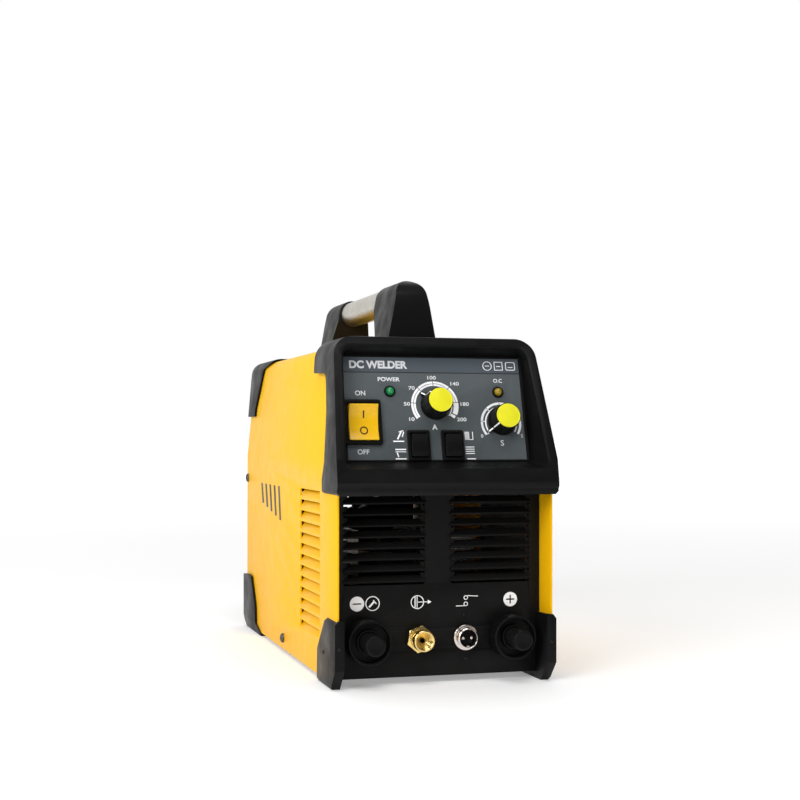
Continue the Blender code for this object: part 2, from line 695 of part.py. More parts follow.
def build_dinse(word, x):
    spot = (x, ROW_Z, 0)
    body = [(13.1, 14.5), (14.2, 14.5), (14.7, 14), (14.7, GAP), (DINSE_SHANK, GAP), (DINSE_SHANK, -8),
            (7.0, -8), (7.0, 11.5), (8.4, 11.5), (8.4, 7.5), (13.1, 7.5)]
    turned(f"{word}_socket", body, "black_plastic", connectors, spot, closed=True)
    contact = [(0, -14), (4.6, -14), (4.6, 5), (6.7, 5), (6.7, -30), (0, -30)]
    turned(f"{word}_contact", contact, "brass", connectors, spot, steps=24)
    reach = PANEL_Y + FRONT_REACH
    plug = [(0, reach), (6.1, reach), (6.7, reach - 0.6), (6.7, 5.4), (4.3, 5.4), (4.3, -12), (0, -12)]
    turned(f"{word}_dust_plug", plug, "black_plastic", connectors, spot)


def build_gas_outlet():
    profile = [(1.7, 10.5), (5.6, 14.6), (6.5, 15), (7.1, 14.4), (7.1, 4), (GAS_SHANK, 4), (GAS_SHANK, -10),
               (4, -10), (4, -18), (1.7, -18)]
    fitting = turned("gas_outlet_fitting", profile, "brass", connectors, (GAS_X, ROW_Z, 0), closed=True)
    hexagon = slab("gas_outlet_hex", 4.4, circle((0, 0), 9.3, 6), circle((0, 0), 4.4, 16))
    join(fitting, tool(hexagon, connectors, (GAS_X, ROW_Z, 2.7), (0, 0, 80)))


def build_torch_socket():
    spot = (TORCH_X, ROW_Z, 0)
    shell = [(5.9, 9.5), (6.5, 9.5), (TORCH_SHANK, 9), (TORCH_SHANK, 4.6), (8.2, 4.6), (8.6, 4.2), (8.6, GAP),
             (TORCH_SHANK - 0.2, GAP), (TORCH_SHANK - 0.2, -9), (5.9, -9)]
    turned("torch_socket_shell", shell, "nickel", connectors, spot, closed=True)
    mesh = rods("torch_socket_insert", ((0, 0), 5.6, 5.6, -12, 2.5))
    insert = part("torch_socket_insert", mesh, "black_plastic", connectors, spot)
    pins = [((x, 0), 1.1, 1.1, z0, z1) for x in (-2.9, 2.9) for z0, z1 in ((0, 7.5), (-17, -10))]
    join(insert, tool(rods("torch_socket_pins", *pins, sides=12), connectors, spot))


# ---- rear


def build_rear_panel():
    outline = cover_outline(-COVER_SHEET - GAP, 7)
    loops = [circle((0, FAN_Z), FAN_BORE - 2, 40), circle((-GLAND_AT[0], GLAND_AT[1]), GLAND_SHANK + GAP, 24),
             circle((-INLET_AT[0], INLET_AT[1]), INLET_SHANK + GAP, 20)]
    mesh = slab("rear_panel", REAR_SHEET, outline, *loops)
    part("rear_panel", mesh, "black_plastic", machine, (0, REAR_Y + REAR_SHEET / 2, 0), FRONT_VIEW)


def build_fan():
    spot = (0, FAN_FRONT + FAN_DEPTH / 2, FAN_Z)
    frame = slab("fan_frame", FAN_DEPTH, rounded_frame(FAN_HALF, FAN_HALF, FAN_HALF, -FAN_HALF, 5, 5, 3))
    housing = part("fan_frame", frame, "black_plastic", machine, spot, FRONT_VIEW)
    low = FAN_DEPTH / 2
    bore = rods("fan_bore", ((0, 0), FAN_BORE, FAN_BORE, -low - 1, low + 1), sides=36)
    cut(housing, tool(bore, machine, spot, FRONT_VIEW))
    join(housing, tool(rods("fan_motor_seat", ((0, 0), 19, 19, low - 5, low - 0.2)), machine, spot, FRONT_VIEW))
    reach = FAN_BORE + 1.5
    cross = [(reach, 2), (2, 2), (2, reach), (-2, reach), (-2, 2), (-reach, 2), (-reach, -2), (-2, -2), (-2, -reach),
             (2, -reach), (2, -2), (reach, -2)]
    lift = Matrix.Translation((0, 0, (low - 2) * MM)) @ Matrix.Rotation(math.radians(20), 4, "Z")
    struts = slab("fan_struts", 3, cross)
    struts.transform(lift)
    combine(housing, tool(struts, machine, spot, FRONT_VIEW), "UNION", "MANIFOLD")
    rotor = part("fan_rotor", rods("fan_rotor", ((0, 0), 19, 19, -10.5, low - 5.3)), "black_plastic", machine, spot,
                 FRONT_VIEW)
    blades = []
    for i in range(7):
        turn = Matrix.Rotation(math.tau * i / 7, 4, "Z")
        pitch = Matrix.Rotation(math.radians(38), 4, "X")
        blades.append(((24, 18, 1.6), turn @ Matrix.Translation((30, 0, -2)) @ pitch))
    join(rotor, tool(boxes("fan_blades", *blades), machine, spot, FRONT_VIEW))


def build_fan_guard():
    """A finger guard of concentric rings and crossed ribs over the rear panel's fan hole."""
    spot = (0, REAR_Y + REAR_SHEET + GAP + 1.25, FAN_Z)
    outer = circle((0, 0), FAN_HALF - 1, 28)
    grille = slab("fan_guard", 2.5, outer, circle((0, 0), 41, 28))
    obj = part("fan_guard", grille, "black_plastic", machine, spot, BACK_VIEW)
    for number, radius in enumerate((33.5, 25.5, 17.5)):
        ring = slab(f"fan_guard_ring_{number}", 2.1, circle((0, 0), radius + 1, 24), circle((0, 0), radius - 1, 24))
        join(obj, tool(ring, machine, spot, BACK_VIEW))
    ribs = [((84, 2.4, 2.3), Matrix.Rotation(math.radians(angle), 4, "Z")) for angle in (0, 90)]
    join(obj, tool(rods("fan_guard_boss", ((0, 0), 10, 10, -1.2, 1.2), sides=20), machine, spot, BACK_VIEW))
    for number, rib in enumerate(ribs):
        join(obj, tool(boxes(f"fan_guard_rib_{number}", rib), machine, spot, BACK_VIEW))


def build_inlets():
    gland = [(5, 17.5), (6.5, 17.5), (9.0, 14), (9.6, 7.5), (GLAND_SHANK, 7.5), (GLAND_SHANK, -11), (5, -11)]
    body = turned("mains_gland", gland, "black_plastic", rear_row, (*GLAND_AT, 0), steps=24, closed=True)
    for name, low in (("gland_hex", 0.3), ("gland_nut", -6.3)):
        hexagon = slab(name, 4.2, circle((0, 0), 12, 6), circle((0, 0), 7, 16))
        join(body, tool(hexagon, rear_row, (*GLAND_AT, low + 2.1)))
    barbs = [dot for z in (15, 12, 9) for dot in ((3.0, z), (3.9, z - 2.4))]
    inlet = [(2.0, 15.4), *barbs, (3.4, 6.5), (INLET_SHANK, 5.5), (INLET_SHANK, -9), (3.2, -9), (3.2, -15), (2.0, -15)]
    fitting = turned("gas_inlet_fitting", inlet, "brass", rear_row, (*INLET_AT, 0), steps=24, closed=True)
    hexagon = slab("gas_inlet_hex", 5, circle((0, 0), 8.5, 6), circle((0, 0), 4.4, 16))
    join(fitting, tool(hexagon, rear_row, (*INLET_AT, 2.8)))


# ---- inside


def build_power_stage():
    board = slab("main_board", 1.6, rectangle((0, 190), 124, 190))
    main = part("main_board", board, "circuit_board", machine, (0, 0, 22))
    spots = [(x, y) for x in (-55, 55) for y in (103, 277)]
    join(main, tool(rods("board_standoffs", *[(at, 3, 3, 6.2, 21.6) for at in spots], sides=12), machine))
    for side, word in ((-1, "left"), (1, "right")):
        fins, base, pitch, tall = 9, 5.0, 8.0, 72.0
        teeth = []
        for i in range(fins):
            low = i * pitch
            teeth += [(0, low), (22, low), (22, low + 2), (0, low + 2)]
        outline = [(-base, 0), *teeth, (0, tall), (-base, tall)]
        comb = slab(f"heatsink_{word}", 130, outline if side > 0 else mirrored(outline))
        part(f"heatsink_{word}", comb, "aluminium", machine, (side * 36, 180, 24), FRONT_VIEW)
    core = boxes("main_transformer", ((-14, 130, 24), (14, 190, 74)))
    transformer = part("main_transformer", core, "ferrite", machine)
    winding = ((-24, 142, 32), (24, 178, 66))
    join(transformer, tool(boxes("transformer_winding", winding), machine))
    ring = circle((0, 0), 24, 24)
    choke = part("output_choke", slab("output_choke", 24, ring, circle((0, 0), 11, 20)), "copper_winding", machine,
                 (0, 215, 48.4), FRONT_VIEW)
    soften(choke, 4)
    for number, x in ((1, -21), (2, 21)):
        can = [(0, 62), (16, 62), (17.5, 60.5), (17.5, 0.4), (0, 0.4)]
        turned(f"bulk_capacitor_{number}", can, "capacitor_sleeve", machine, (x, 260, 23), steps=24)


def build_ignition_and_gas():
    coil = part("ignition_coil", boxes("ignition_coil", ((12, 54, 8), (52, 88, 50))), "black_plastic", machine)
    join(coil, tool(rods("ignition_coil_core", ((32, 71), 12, 12, 49, 62)), machine))
    soften(coil, 1.5)
    valve = part("gas_valve", boxes("gas_valve", ((-36, 60, 10), (-12, 84, 28))), "brass", machine)
    ports = boxes("gas_valve_coil", ((-40, 56, 27.5), (-8, 88, 58)))
    join(valve, tool(ports, machine))
    barbs = rods("gas_valve_ports", ((-24, 17), 3.6, 3.6, -94, -50))
    join(valve, tool(barbs, machine, (0, 0, 0), FRONT_VIEW))
    front = [(-24, 49, 17), (-24, 46.5, 17), (-19, 45, 23), (GAS_X, 42.5, ROW_Z), (GAS_X, 40, ROW_Z),
             (GAS_X, 38.7, ROW_Z)]
    part("gas_hose_front", pipe("gas_hose_front", 4, front), "blue_hose", machine)
    x, z = -INLET_AT[0], INLET_AT[1]
    rear = [(-24, 94.5, 17), (-24, 104, 16), (-26, 150, 13), (-30, 220, 12), (-33, 280, 14), (x, 296, 32),
            (x, 304, z), (x, 309, z), (x, 312, z)]
    part("gas_hose_rear", pipe("gas_hose_rear", 4, rear), "blue_hose", machine)


def build_screws():
    """The pan-head screws that hold the cover's skirt to the base tray."""
    head = [(0, 2.6), (1.6, 2.5), (3.0, 1.6), (3.6, GAP), (0, GAP)]
    for side, word in ((-1, "left"), (1, "right")):
        spot = (side * COVER_HALF, 177.6, 11.3)
        turned(f"cover_screw_{word}", head, "steel", machine, spot, (0, side * 90, 0), steps=20)


clear_scene()
parts = new_collection("tig_welding_machine")
tools = new_collection("cutters")
machine = empty("machine", None, (0, -MIDDLE_Y, 0))
controls = empty("control_face", machine, (0, PLATE_Y, PLATE_Z), (90 - math.degrees(PLATE_TILT), 0, 0))
connectors = empty("connector_row", machine, (0, PANEL_Y, 0), FRONT_VIEW)
rear_row = empty("rear_row", machine, (0, REAR_Y + REAR_SHEET, 0), BACK_VIEW)

build_cover()
build_base()
build_front_panel()
build_hood()
build_guards()
build_handle()
build_control_plate()
build_switches()
build_dial("current", CURRENT_AT, 138)
build_dial("slope", SLOPE_AT, 217)
build_leds()
build_dinse("negative", -DINSE_X)
build_dinse("positive", DINSE_X)
build_gas_outlet()
build_torch_socket()
build_rear_panel()
build_fan()
build_fan_guard()
build_inlets()
build_power_stage()
build_ignition_and_gas()
build_screws()
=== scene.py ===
"""Looks for the portable TIG welding machine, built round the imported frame.

Lengths are millimetres, and MM turns them into metres. Three local frames are read from the frame's own
nodes and joints: FACE on the leaning control plate, ROW on the lower front panel and BACK on the rear panel.
Each has x to the viewer's right, y up and z out towards the viewer. Where a place is written (x, depth, z),
depth is counted from the cover's front edge towards the rear.
"""

import json
import math

import bmesh
import bpy
from mathutils import Matrix, Vector


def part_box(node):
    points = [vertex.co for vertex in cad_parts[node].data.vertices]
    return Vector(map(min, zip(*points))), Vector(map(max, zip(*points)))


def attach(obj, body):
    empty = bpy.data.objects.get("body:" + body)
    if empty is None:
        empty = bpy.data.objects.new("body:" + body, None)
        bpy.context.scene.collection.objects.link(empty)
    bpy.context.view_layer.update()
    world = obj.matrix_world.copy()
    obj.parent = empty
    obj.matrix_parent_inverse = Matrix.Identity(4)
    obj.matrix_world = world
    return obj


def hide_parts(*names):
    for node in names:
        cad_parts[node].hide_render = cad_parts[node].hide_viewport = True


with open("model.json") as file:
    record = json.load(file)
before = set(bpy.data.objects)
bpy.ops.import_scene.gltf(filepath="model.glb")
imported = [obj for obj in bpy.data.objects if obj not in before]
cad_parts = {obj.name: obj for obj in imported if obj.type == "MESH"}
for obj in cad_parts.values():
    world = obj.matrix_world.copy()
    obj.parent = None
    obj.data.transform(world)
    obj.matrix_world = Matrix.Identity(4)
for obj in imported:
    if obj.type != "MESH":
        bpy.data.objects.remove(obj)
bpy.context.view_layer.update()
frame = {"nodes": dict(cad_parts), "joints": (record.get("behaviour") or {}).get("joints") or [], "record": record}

MM = 0.001
GAP = 0.3
WELD = MM / 500
BEYOND = 90
SIDES = ((-1, "left"), (1, "right"))
JOINTS = {joint["name"]: joint for joint in frame["joints"]}
SLOTS = {row["node"]: row["material_slot"] for row in frame["record"]["subparts"]}

# Cover
COVER_LOW, COVER_HIGH = [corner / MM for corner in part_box("cover_shell")]
FRONT = COVER_LOW.y
COVER_DEPTH = COVER_HIGH.y - COVER_LOW.y
COVER_HALF = COVER_HIGH.x
COVER_TOP = COVER_HIGH.z
COVER_FOOT = COVER_LOW.z
COVER_SHEET = 1.2
COVER_CORNER = 9.0
CORNER_X = 57.6
CORNER_Z = COVER_TOP - COVER_CORNER
KNEE_Z = 148.0
LEAN = math.atan(0.1044)
COVER_INNER = COVER_HALF - COVER_SHEET

# Side louvres
LOUVRES = 13
LOUVRE_PITCH = 7.8
LOUVRE_FIRST = 127.2
LOUVRE_SLOT = 5.6
LOUVRE_PUSH = 3.6
LOUVRE_FRONT = 51.0
LOUVRE_REAR = 115.0

# Hood
HOOD_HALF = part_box("hood_bezel")[1].x / MM
HOOD_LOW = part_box("hood_bezel")[0].z / MM
HOOD_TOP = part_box("hood_bezel")[1].z / MM
HOOD_CORNER = 14.0
HOOD_TILT = 4
RIM_DEPTH = -5.3
RIM_Z = 149.5
RIM_SLOPE = 0.403
CHIN_DEPTH = -8.3

# Front panel
PANEL_LOW, PANEL_HIGH = [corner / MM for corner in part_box("front_panel")]
PANEL_SHEET = 3.0
PANEL_DEPTH = (PANEL_LOW.y + PANEL_HIGH.y - PANEL_SHEET) / 2 - FRONT
PANEL_HOLES = {"negative_socket": 9.3, "positive_socket": 9.3, "gas_outlet_fitting": 6.3,
               "torch_socket_shell": 7.3}
SLATS = 8
SLAT_SLOPE = 35
BLOCK_INNER = 9.2
BLOCK_OUTER = 64.8
BLOCK_LOW = 66.0
BLOCK_HIGH = 125.5

# Control plate
PLATE_SHEET = 2.0
PLATE_HALF = 64.3
PLATE_RISE = 36.55
LABEL_HALF = 62.2
LABEL_SKIN = 0.2
INK = 0.06
SIGN_ROW = 54.0
TITLE_ROW = 30.2
ROCKER_RADIUS = 28.0
POWER_OPENING = (22.3, 29.3)
MODE_OPENING = (13.5, 19.4)
ROUND_OPENING = 3.8
DIAL_START = 217
DIAL_STEP = 42

# Rear and handle
REAR_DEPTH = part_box("rear_panel")[1].y / MM - FRONT
TUBE_RADIUS = 10.0
TUBE_BORE = 8.5

# Screw heads, as (radius, height)
SIDE_SCREW = (3.6, 2.2)
SMALL_SCREW = (1.2, 0.7)

# Studio, in metres, watts and degrees; each light has a name, a place, a width and a power
LIGHTS = (("key", (-1.7, -1.5, 1.1), 1.4, 31), ("left", (-2.0, 0.2, 0.9), 1.6, 4),
          ("top", (-0.2, -1.2, 2.2), 1.6, 26))
LIT_SPOT = (0, 0, 0.12)
FLOOR_GLOW = (0.22, 0.75)
FLOOR_FADE = (0.6, 3.5)
SKY = (("From Min", -0.1), ("From Max", 0.6), ("To Min", 0.14), ("To Max", 1.0))
CAMERA_SPOT = (-0.28725, -1.07287, 0.16499)
CAMERA_TURN = -15.76
CAMERA_LENS = 65.18
CAMERA_SHIFT = 0.0442


# ---- local frames

RIGHT = Vector((1, 0, 0))
UP = Vector((0, 0, 1))
ALONG_X = Matrix.Rotation(math.pi / 2, 4, "Z") @ Matrix.Rotation(math.pi / 2, 4, "X")


def frame_at(origin, across=RIGHT, up=UP):
    """The matrix of a frame with these x and y directions."""
    out = across.cross(up)
    made = Matrix((across, up, out)).transposed().to_4x4()
    made.translation = origin
    return made


def plate_frame():
    out = Vector(JOINTS["current_dial_turn"]["axis"]).normalized()
    low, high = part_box("control_plate")
    return frame_at((low + high) / 2 + out * PLATE_SHEET / 2 * MM, up=out.cross(RIGHT))


FACE = plate_frame()
ROW = frame_at(Vector((0, FRONT + PANEL_DEPTH, 0)) * MM)
BACK = frame_at(Vector((0, FRONT + REAR_DEPTH, 0)) * MM, Vector((-1, 0, 0)))


def middle_in(local, node):
    """The middle of a node's box, in millimetres, in one of the local frames."""
    inverse = local.inverted()
    dots = [inverse @ vertex.co for vertex in frame["nodes"][node].data.vertices]
    low = Vector([min(dot[i] for dot in dots) for i in range(3)])
    high = Vector([max(dot[i] for dot in dots) for i in range(3)])
    return (low + high) / 2 / MM


def joint_in(local, name):
    return local.inverted() @ Vector(JOINTS[name]["pos_m"]) / MM


def on(local, x, y, z=0.0, turn=0.0, tilt=0.0):
    """A frame moved to a place in a local frame, turned about its z and tilted about its x, in degrees."""
    made = local @ Matrix.Translation(Vector((x, y, z)) * MM)
    return made @ Matrix.Rotation(math.radians(turn), 4, "Z") @ Matrix.Rotation(math.radians(tilt), 4, "X")


def raised(z):
    """A move along z, in millimetres."""
    return Matrix.Translation((0, 0, z * MM))


def span(side, *edges):
    """Two distances from the middle as places along x on one side, the lower first."""
    return sorted(side * edge for edge in edges)


# ---- outlines


def arc(centre, radius, start, end, count):
    angles = [math.radians(start + (end - start) * i / count) for i in range(count + 1)]
    return [(centre[0] + radius * math.cos(a), centre[1] + radius * math.sin(a)) for a in angles]


def circle(centre, radius, count=48):
    return arc(centre, radius, 0, 360, count)[:-1]


def hoop(centre, outer, inner, count=48):
    return [circle(centre, outer, count), circle(centre, inner, count)]


def band(centre, inner, outer, start, end, count=24):
    """A flat strip along an arc."""
    return arc(centre, outer, start, end, count) + arc(centre, inner, end, start, count)


def rectangle(centre, width, height):
    (x, y), w, h = centre, width / 2, height / 2
    return [(x - w, y - h), (x + w, y - h), (x + w, y + h), (x - w, y + h)]


def bar(start, end, width):
    """A straight stroke from one point to another."""
    a, b = Vector(start), Vector(end)
    side = (b - a).normalized().orthogonal() * width / 2
    return [tuple(dot) for dot in (a - side, b - side, b + side, a + side)]


def eased(points, radius, count=5):
    """A closed outline with its corners rounded, by one radius or by one for each corner."""
    radii = radius if isinstance(radius, (list, tuple)) else [radius] * len(points)
    made = []
    for i, (corner, size) in enumerate(zip(points, radii)):
        here = Vector(corner)
        back, ahead = Vector(points[i - 1]) - here, Vector(points[(i + 1) % len(points)]) - here
        angle = back.angle(ahead)
        if size == 0 or angle > math.radians(176):
            made.append(tuple(here))
            continue
        reach = min(size / math.tan(angle / 2), 0.48 * back.length, 0.48 * ahead.length)
        start, end = here + back.normalized() * reach, here + ahead.normalized() * reach
        for k in range(count + 1):
            t = k / count
            made.append(tuple(start * (1 - t) ** 2 + here * 2 * t * (1 - t) + end * t**2))
    return made


def rounded_frame(top_half, low_half, top, low, top_radius, low_radius, count=8):
    """A four-sided outline, symmetric about x = 0, with round corners."""
    corners = (
        ((top_half - top_radius, top - top_radius), top_radius, 0),
        ((top_radius - top_half, top - top_radius), top_radius, 90),
        ((low_radius - low_half, low + low_radius), low_radius, 180),
        ((low_half - low_radius, low + low_radius), low_radius, 270),
    )
    return [dot for centre, radius, start in corners for dot in arc(centre, radius, start, start + 90, count)]


def mirrored(points):
    return [(-x, y) for x, y in reversed(points)]


def cover_outline(offset=0.0, foot=COVER_FOOT):
    """The cover's section from its right foot over the top to its left foot, moved outwards by an offset."""
    knee = KNEE_Z + offset * math.tan(LEAN / 2)
    bend = arc((CORNER_X, CORNER_Z), COVER_CORNER + offset, math.degrees(LEAN), 90, 12)
    half = [(COVER_HALF + offset, foot), (COVER_HALF + offset, knee), *bend]
    return half + mirrored(half)


# ---- meshes


def closed_mesh(shape):
    bmesh.ops.recalc_face_normals(shape, faces=shape.faces)
    mesh = bpy.data.meshes.new("shape")
    shape.to_mesh(mesh)
    shape.free()
    return mesh


def evaluated(obj):
    """The object's mesh with its modifiers applied; the object is removed."""
    bpy.context.view_layer.update()
    mesh = bpy.data.meshes.new_from_object(obj.evaluated_get(bpy.context.evaluated_depsgraph_get()))
    bpy.data.objects.remove(obj)
    return mesh


def linked(name, data):
    """A new object in the scene."""
    obj = bpy.data.objects.new(name, data)
    bpy.context.scene.collection.objects.link(obj)
    return obj


def holder(data):
    return linked("holder", data)


def slab(thickness, *loops, place=Matrix.Identity(4)):
    """Flat outlines, and any holes in them, with a thickness centred on local z = 0."""
    curve = bpy.data.curves.new("outline", "CURVE")
    curve.dimensions = "2D"
    curve.fill_mode = "BOTH"
    curve.extrude = thickness * MM / 2
    for loop in loops:
        spline = curve.splines.new("POLY")
        spline.points.add(len(loop) - 1)
        for point, (x, y) in zip(spline.points, loop):
            point.co = (x * MM, y * MM, 0, 1)
        spline.use_cyclic_u = True
    shape = bmesh.new()
    shape.from_mesh(evaluated(holder(curve)))
    bmesh.ops.remove_doubles(shape, verts=shape.verts, dist=WELD)
    bmesh.ops.transform(shape, matrix=place, verts=shape.verts)
    return closed_mesh(shape)


def front_prism(front, rear, *loops):
    """A shape with the same front view, as (x, z), from one depth to another."""
    middle = Matrix.Translation((0, (FRONT + (front + rear) / 2) * MM, 0))
    place = middle @ Matrix.Rotation(math.pi / 2, 4, "X")
    return slab(rear - front, *loops, place=place)


def side_prism(left, right, *loops):
    """A shape with the same side view, as (depth, z), from one x to another."""
    place = Matrix.Translation(Vector(((left + right) / 2, FRONT, 0)) * MM) @ ALONG_X
    return slab(right - left, *loops, place=place)


def through(outline):
    """A shape right across the machine, with this side view."""
    return side_prism(-BEYOND, BEYOND, outline)


def blocks(*corners):
    """Boxes in (x, depth, z), each given as (low corner, high corner)."""
    shape = bmesh.new()
    for low, high in corners:
        low, high = Vector(low), Vector(high)
        spot = Matrix.Translation(((low + high) / 2 + Vector((0, FRONT, 0))) * MM)
        bmesh.ops.create_cube(shape, size=1, matrix=spot @ Matrix.Diagonal((*((high - low) * MM), 1)))
    return closed_mesh(shape)


def turned(profile, steps=96, closed=False):
    """A profile of (radius, z) turned round z."""
    shape = bmesh.new()
    rings = []
    for radius, z in profile:
        if radius < 1e-6:
            rings.append([shape.verts.new((0, 0, z * MM))] * steps)
            continue
        angles = [math.tau * i / steps for i in range(steps)]
        spots = [(radius * math.cos(a) * MM, radius * math.sin(a) * MM, z * MM) for a in angles]
        rings.append([shape.verts.new(spot) for spot in spots])
    for ring, after in zip(rings, rings[1:] + rings[:1] if closed else rings[1:]):
        for i in range(steps):
            j = (i + 1) % steps
            corners = list(dict.fromkeys((ring[i], ring[j], after[j], after[i])))
            if len(corners) > 2:
                shape.faces.new(corners)
    return closed_mesh(shape)


def loft(rings, origin=(0, FRONT, 0)):
    """A closed skin over rings of equally many points, in (x, depth, z) or from another origin."""
    shape = bmesh.new()
    rows = [[shape.verts.new((Vector(dot) + Vector(origin)) * MM) for dot in ring] for ring in rings]
    for row, after in zip(rows, rows[1:]):
        for i in range(len(row)):
            j = (i + 1) % len(row)
            shape.faces.new((row[i], row[j], after[j], after[i]))
    shape.faces.new(rows[0])
    shape.faces.new(rows[-1])
    return closed_mesh(shape)


def merged(*meshes):
    """Several meshes in one, as separate shells."""
    shape = bmesh.new()
    for mesh in meshes:
        shape.from_mesh(mesh)
    return closed_mesh(shape)


def moved(mesh, matrix):
    mesh.transform(matrix)
    return mesh


def combined(mesh, operation, *others):
    """The mesh after the others are cut from it, joined to it or kept in common with it."""
    obj = holder(mesh)
    helpers = [holder(other) for other in others]
    for helper in helpers:
        step = obj.modifiers.new("step", "BOOLEAN")
        step.operation = operation
        step.object = helper
    made = evaluated(obj)
    for helper in helpers:
        bpy.data.objects.remove(helper)
    return made


def bevelled(mesh, width, segments=3, angle=30):
    obj = holder(mesh)
    step = obj.modifiers.new("round", "BEVEL")
    step.width = width * MM
    step.segments = segments
    step.limit_method = "ANGLE"
    step.angle_limit = math.radians(angle)
    return evaluated(obj)


def cad_copy(node, width=0.6, segments=3):
    """A CAD node's mesh with its flat faces whole again and its edges rounded."""
    shape = bmesh.new()
    shape.from_mesh(frame["nodes"][node].data)
    bmesh.ops.remove_doubles(shape, verts=shape.verts, dist=WELD)
    bmesh.ops.dissolve_limit(shape, angle_limit=math.radians(0.6), verts=shape.verts, edges=shape.edges)
    mesh = closed_mesh(shape)
    return bevelled(mesh, width, segments) if width else mesh


def piece(name, mesh, look, body="case", nodes=(), place=Matrix.Identity(4), smooth=38):
    """A finished piece: its mesh, its look, the body it rides on and the CAD nodes it stands for."""
    mesh.materials.clear()
    mesh.materials.append(look)
    mesh.shade_smooth()
    mesh.set_sharp_from_angle(angle=math.radians(smooth))
    obj = linked(name, mesh)
    obj.matrix_world = place
    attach(obj, body)
    if nodes:
        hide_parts(*nodes)
    return obj


# ---- looks

LOOKS = {}


class Look:
    """A material's node tree, with short ways to add what most of them need."""

    def __init__(self, name, colour, roughness, metallic=0.0, **constants):
        self.material = bpy.data.materials.new(f"{name}_look")
        LOOKS[name] = self.material
        self.material.use_nodes = True
        self.tree = self.material.node_tree
        self.shader = self.tree.nodes["Principled BSDF"]
        self.shader.inputs["Base Color"].default_value = (*colour, 1)
        self.shader.inputs["Roughness"].default_value = roughness
        self.shader.inputs["Metallic"].default_value = metallic
        for socket, value in constants.items():
            self.shader.inputs[socket.replace("_", " ")].default_value = value
        self.colour = (*colour, 1)
        self.place = self.add("ShaderNodeTexCoord").outputs["Object"]

    def add(self, kind, links=(), **values):
        """A new node; values are its inputs by name, and links the sockets that feed them."""
        node = self.tree.nodes.new(kind)
        for socket, value in values.items():
            node.inputs[socket.replace("_", " ")].default_value = value
        for socket, source in dict(links).items():
            self.tree.links.new(source, node.inputs[socket])
        return node

    def stretched(self, scale):
        """The object's own coordinates, stretched along each axis."""
        return self.add("ShaderNodeMapping", {"Vector": self.place}, Scale=scale).outputs["Vector"]

    def noise(self, scale, detail=3.0, place=None, roughness=0.5):
        links = {"Vector": place or self.place}
        node = self.add("ShaderNodeTexNoise", links, Scale=scale, Detail=detail, Roughness=roughness)
        return node.outputs["Fac"]

    def ranged(self, source, low, high, start=0.35, end=0.65):
        node = self.add("ShaderNodeMapRange", {"Value": source})
        for socket, value in (("From Min", start), ("From Max", end), ("To Min", low), ("To Max", high)):
            node.inputs[socket].default_value = value
        return node.outputs["Result"]

    def tint(self, amount, other):
        """Mixes another colour into the base colour by an amount between 0 and 1."""
        mix = self.tree.nodes.new("ShaderNodeMix")
        mix.data_type = "RGBA"
        self.tree.links.new(amount, mix.inputs["Factor"])
        base = self.shader.inputs["Base Color"]
        if base.is_linked:
            self.tree.links.new(base.links[0].from_socket, mix.inputs["A"])
        else:
            mix.inputs["A"].default_value = self.colour
        mix.inputs["B"].default_value = (*other, 1)
        self.tree.links.new(mix.outputs["Result"], base)

    def mottle(self, scale, detail, amount, other):
        """Patches of another colour, up to an amount."""
        self.tint(self.ranged(self.noise(scale, detail), 0.0, amount), other)

    def rough(self, source):
        self.tree.links.new(source, self.shader.inputs["Roughness"])

    def bump(self, source, distance, strength=0.5):
        node = self.add("ShaderNodeBump", {"Height": source}, Distance=distance * MM, Strength=strength)
        normal = self.shader.inputs["Normal"]
        if normal.is_linked:
            self.tree.links.new(normal.links[0].from_socket, node.inputs["Normal"])
        self.tree.links.new(node.outputs["Normal"], normal)

    def edges(self, low, high):
        """How sharply the surface turns outwards, from 0 on flats to 1 on sharp edges."""
        return self.ranged(self.add("ShaderNodeNewGeometry").outputs["Pointiness"], 0.0, 1.0, low, high)

    def rings(self, scale, distortion=0.0):
        """Fine circles round the object's own z axis."""
        node = self.add("ShaderNodeTexWave", {"Vector": self.place}, Scale=scale, Distortion=distortion)
        node.wave_type = "RINGS"
        node.rings_direction = "Z"
        return node.outputs["Fac"]


def shaded(colour, factor):
    return [channel * factor for channel in colour]


def moulded(name, colour, roughness, grain=0.05, blotch=0.35, **constants):
    """Moulded plastic: a fine grain, uneven gloss, and slightly paler edges, partly rubbed wear and partly a
    painted highlight.
    """
    look = Look(name, colour, roughness, **constants)
    cloud = look.noise(60, 4)
    look.rough(look.ranged(cloud, roughness - 0.07, roughness + 0.09))
    look.mottle(220, 2, blotch, shaded(colour, 0.72))
    # Paler sharp edges: partly rubbed wear, partly a painted highlight where edges would catch the light.
    look.tint(look.edges(0.52, 0.62), [min(1, channel * 1.3 + 0.005) for channel in colour])
    look.bump(look.noise(2600, 2), grain, 0.35)
    return look.material


def powder_coat(name, colour, deep_tone_and_shade):
    """Powder coat: orange peel, a slow drift of tone, painted shade that deepens the colour low down, and a little
    grime in patches.
    """
    look = Look(name, colour, 0.42, Specular_IOR_Level=0.05)
    look.mottle(6, 1, 0.06, deep_tone_and_shade)
    height = look.add("ShaderNodeSeparateXYZ", {"Vector": look.place}).outputs["Z"]
    # Painted shade: the colour deepens towards the bottom, standing in for the upper side catching more light.
    look.tint(look.ranged(height, 0.45, 0.0, 0.0, 0.19), deep_tone_and_shade)
    look.tint(look.ranged(look.noise(420, 4, roughness=0.7), 0.0, 0.035, 0.6, 0.72), (0.25, 0.13, 0.02))
    look.rough(look.ranged(look.noise(90, 4), 0.34, 0.43))
    look.bump(look.noise(650, 2), 0.06, 0.3)
    return look.material


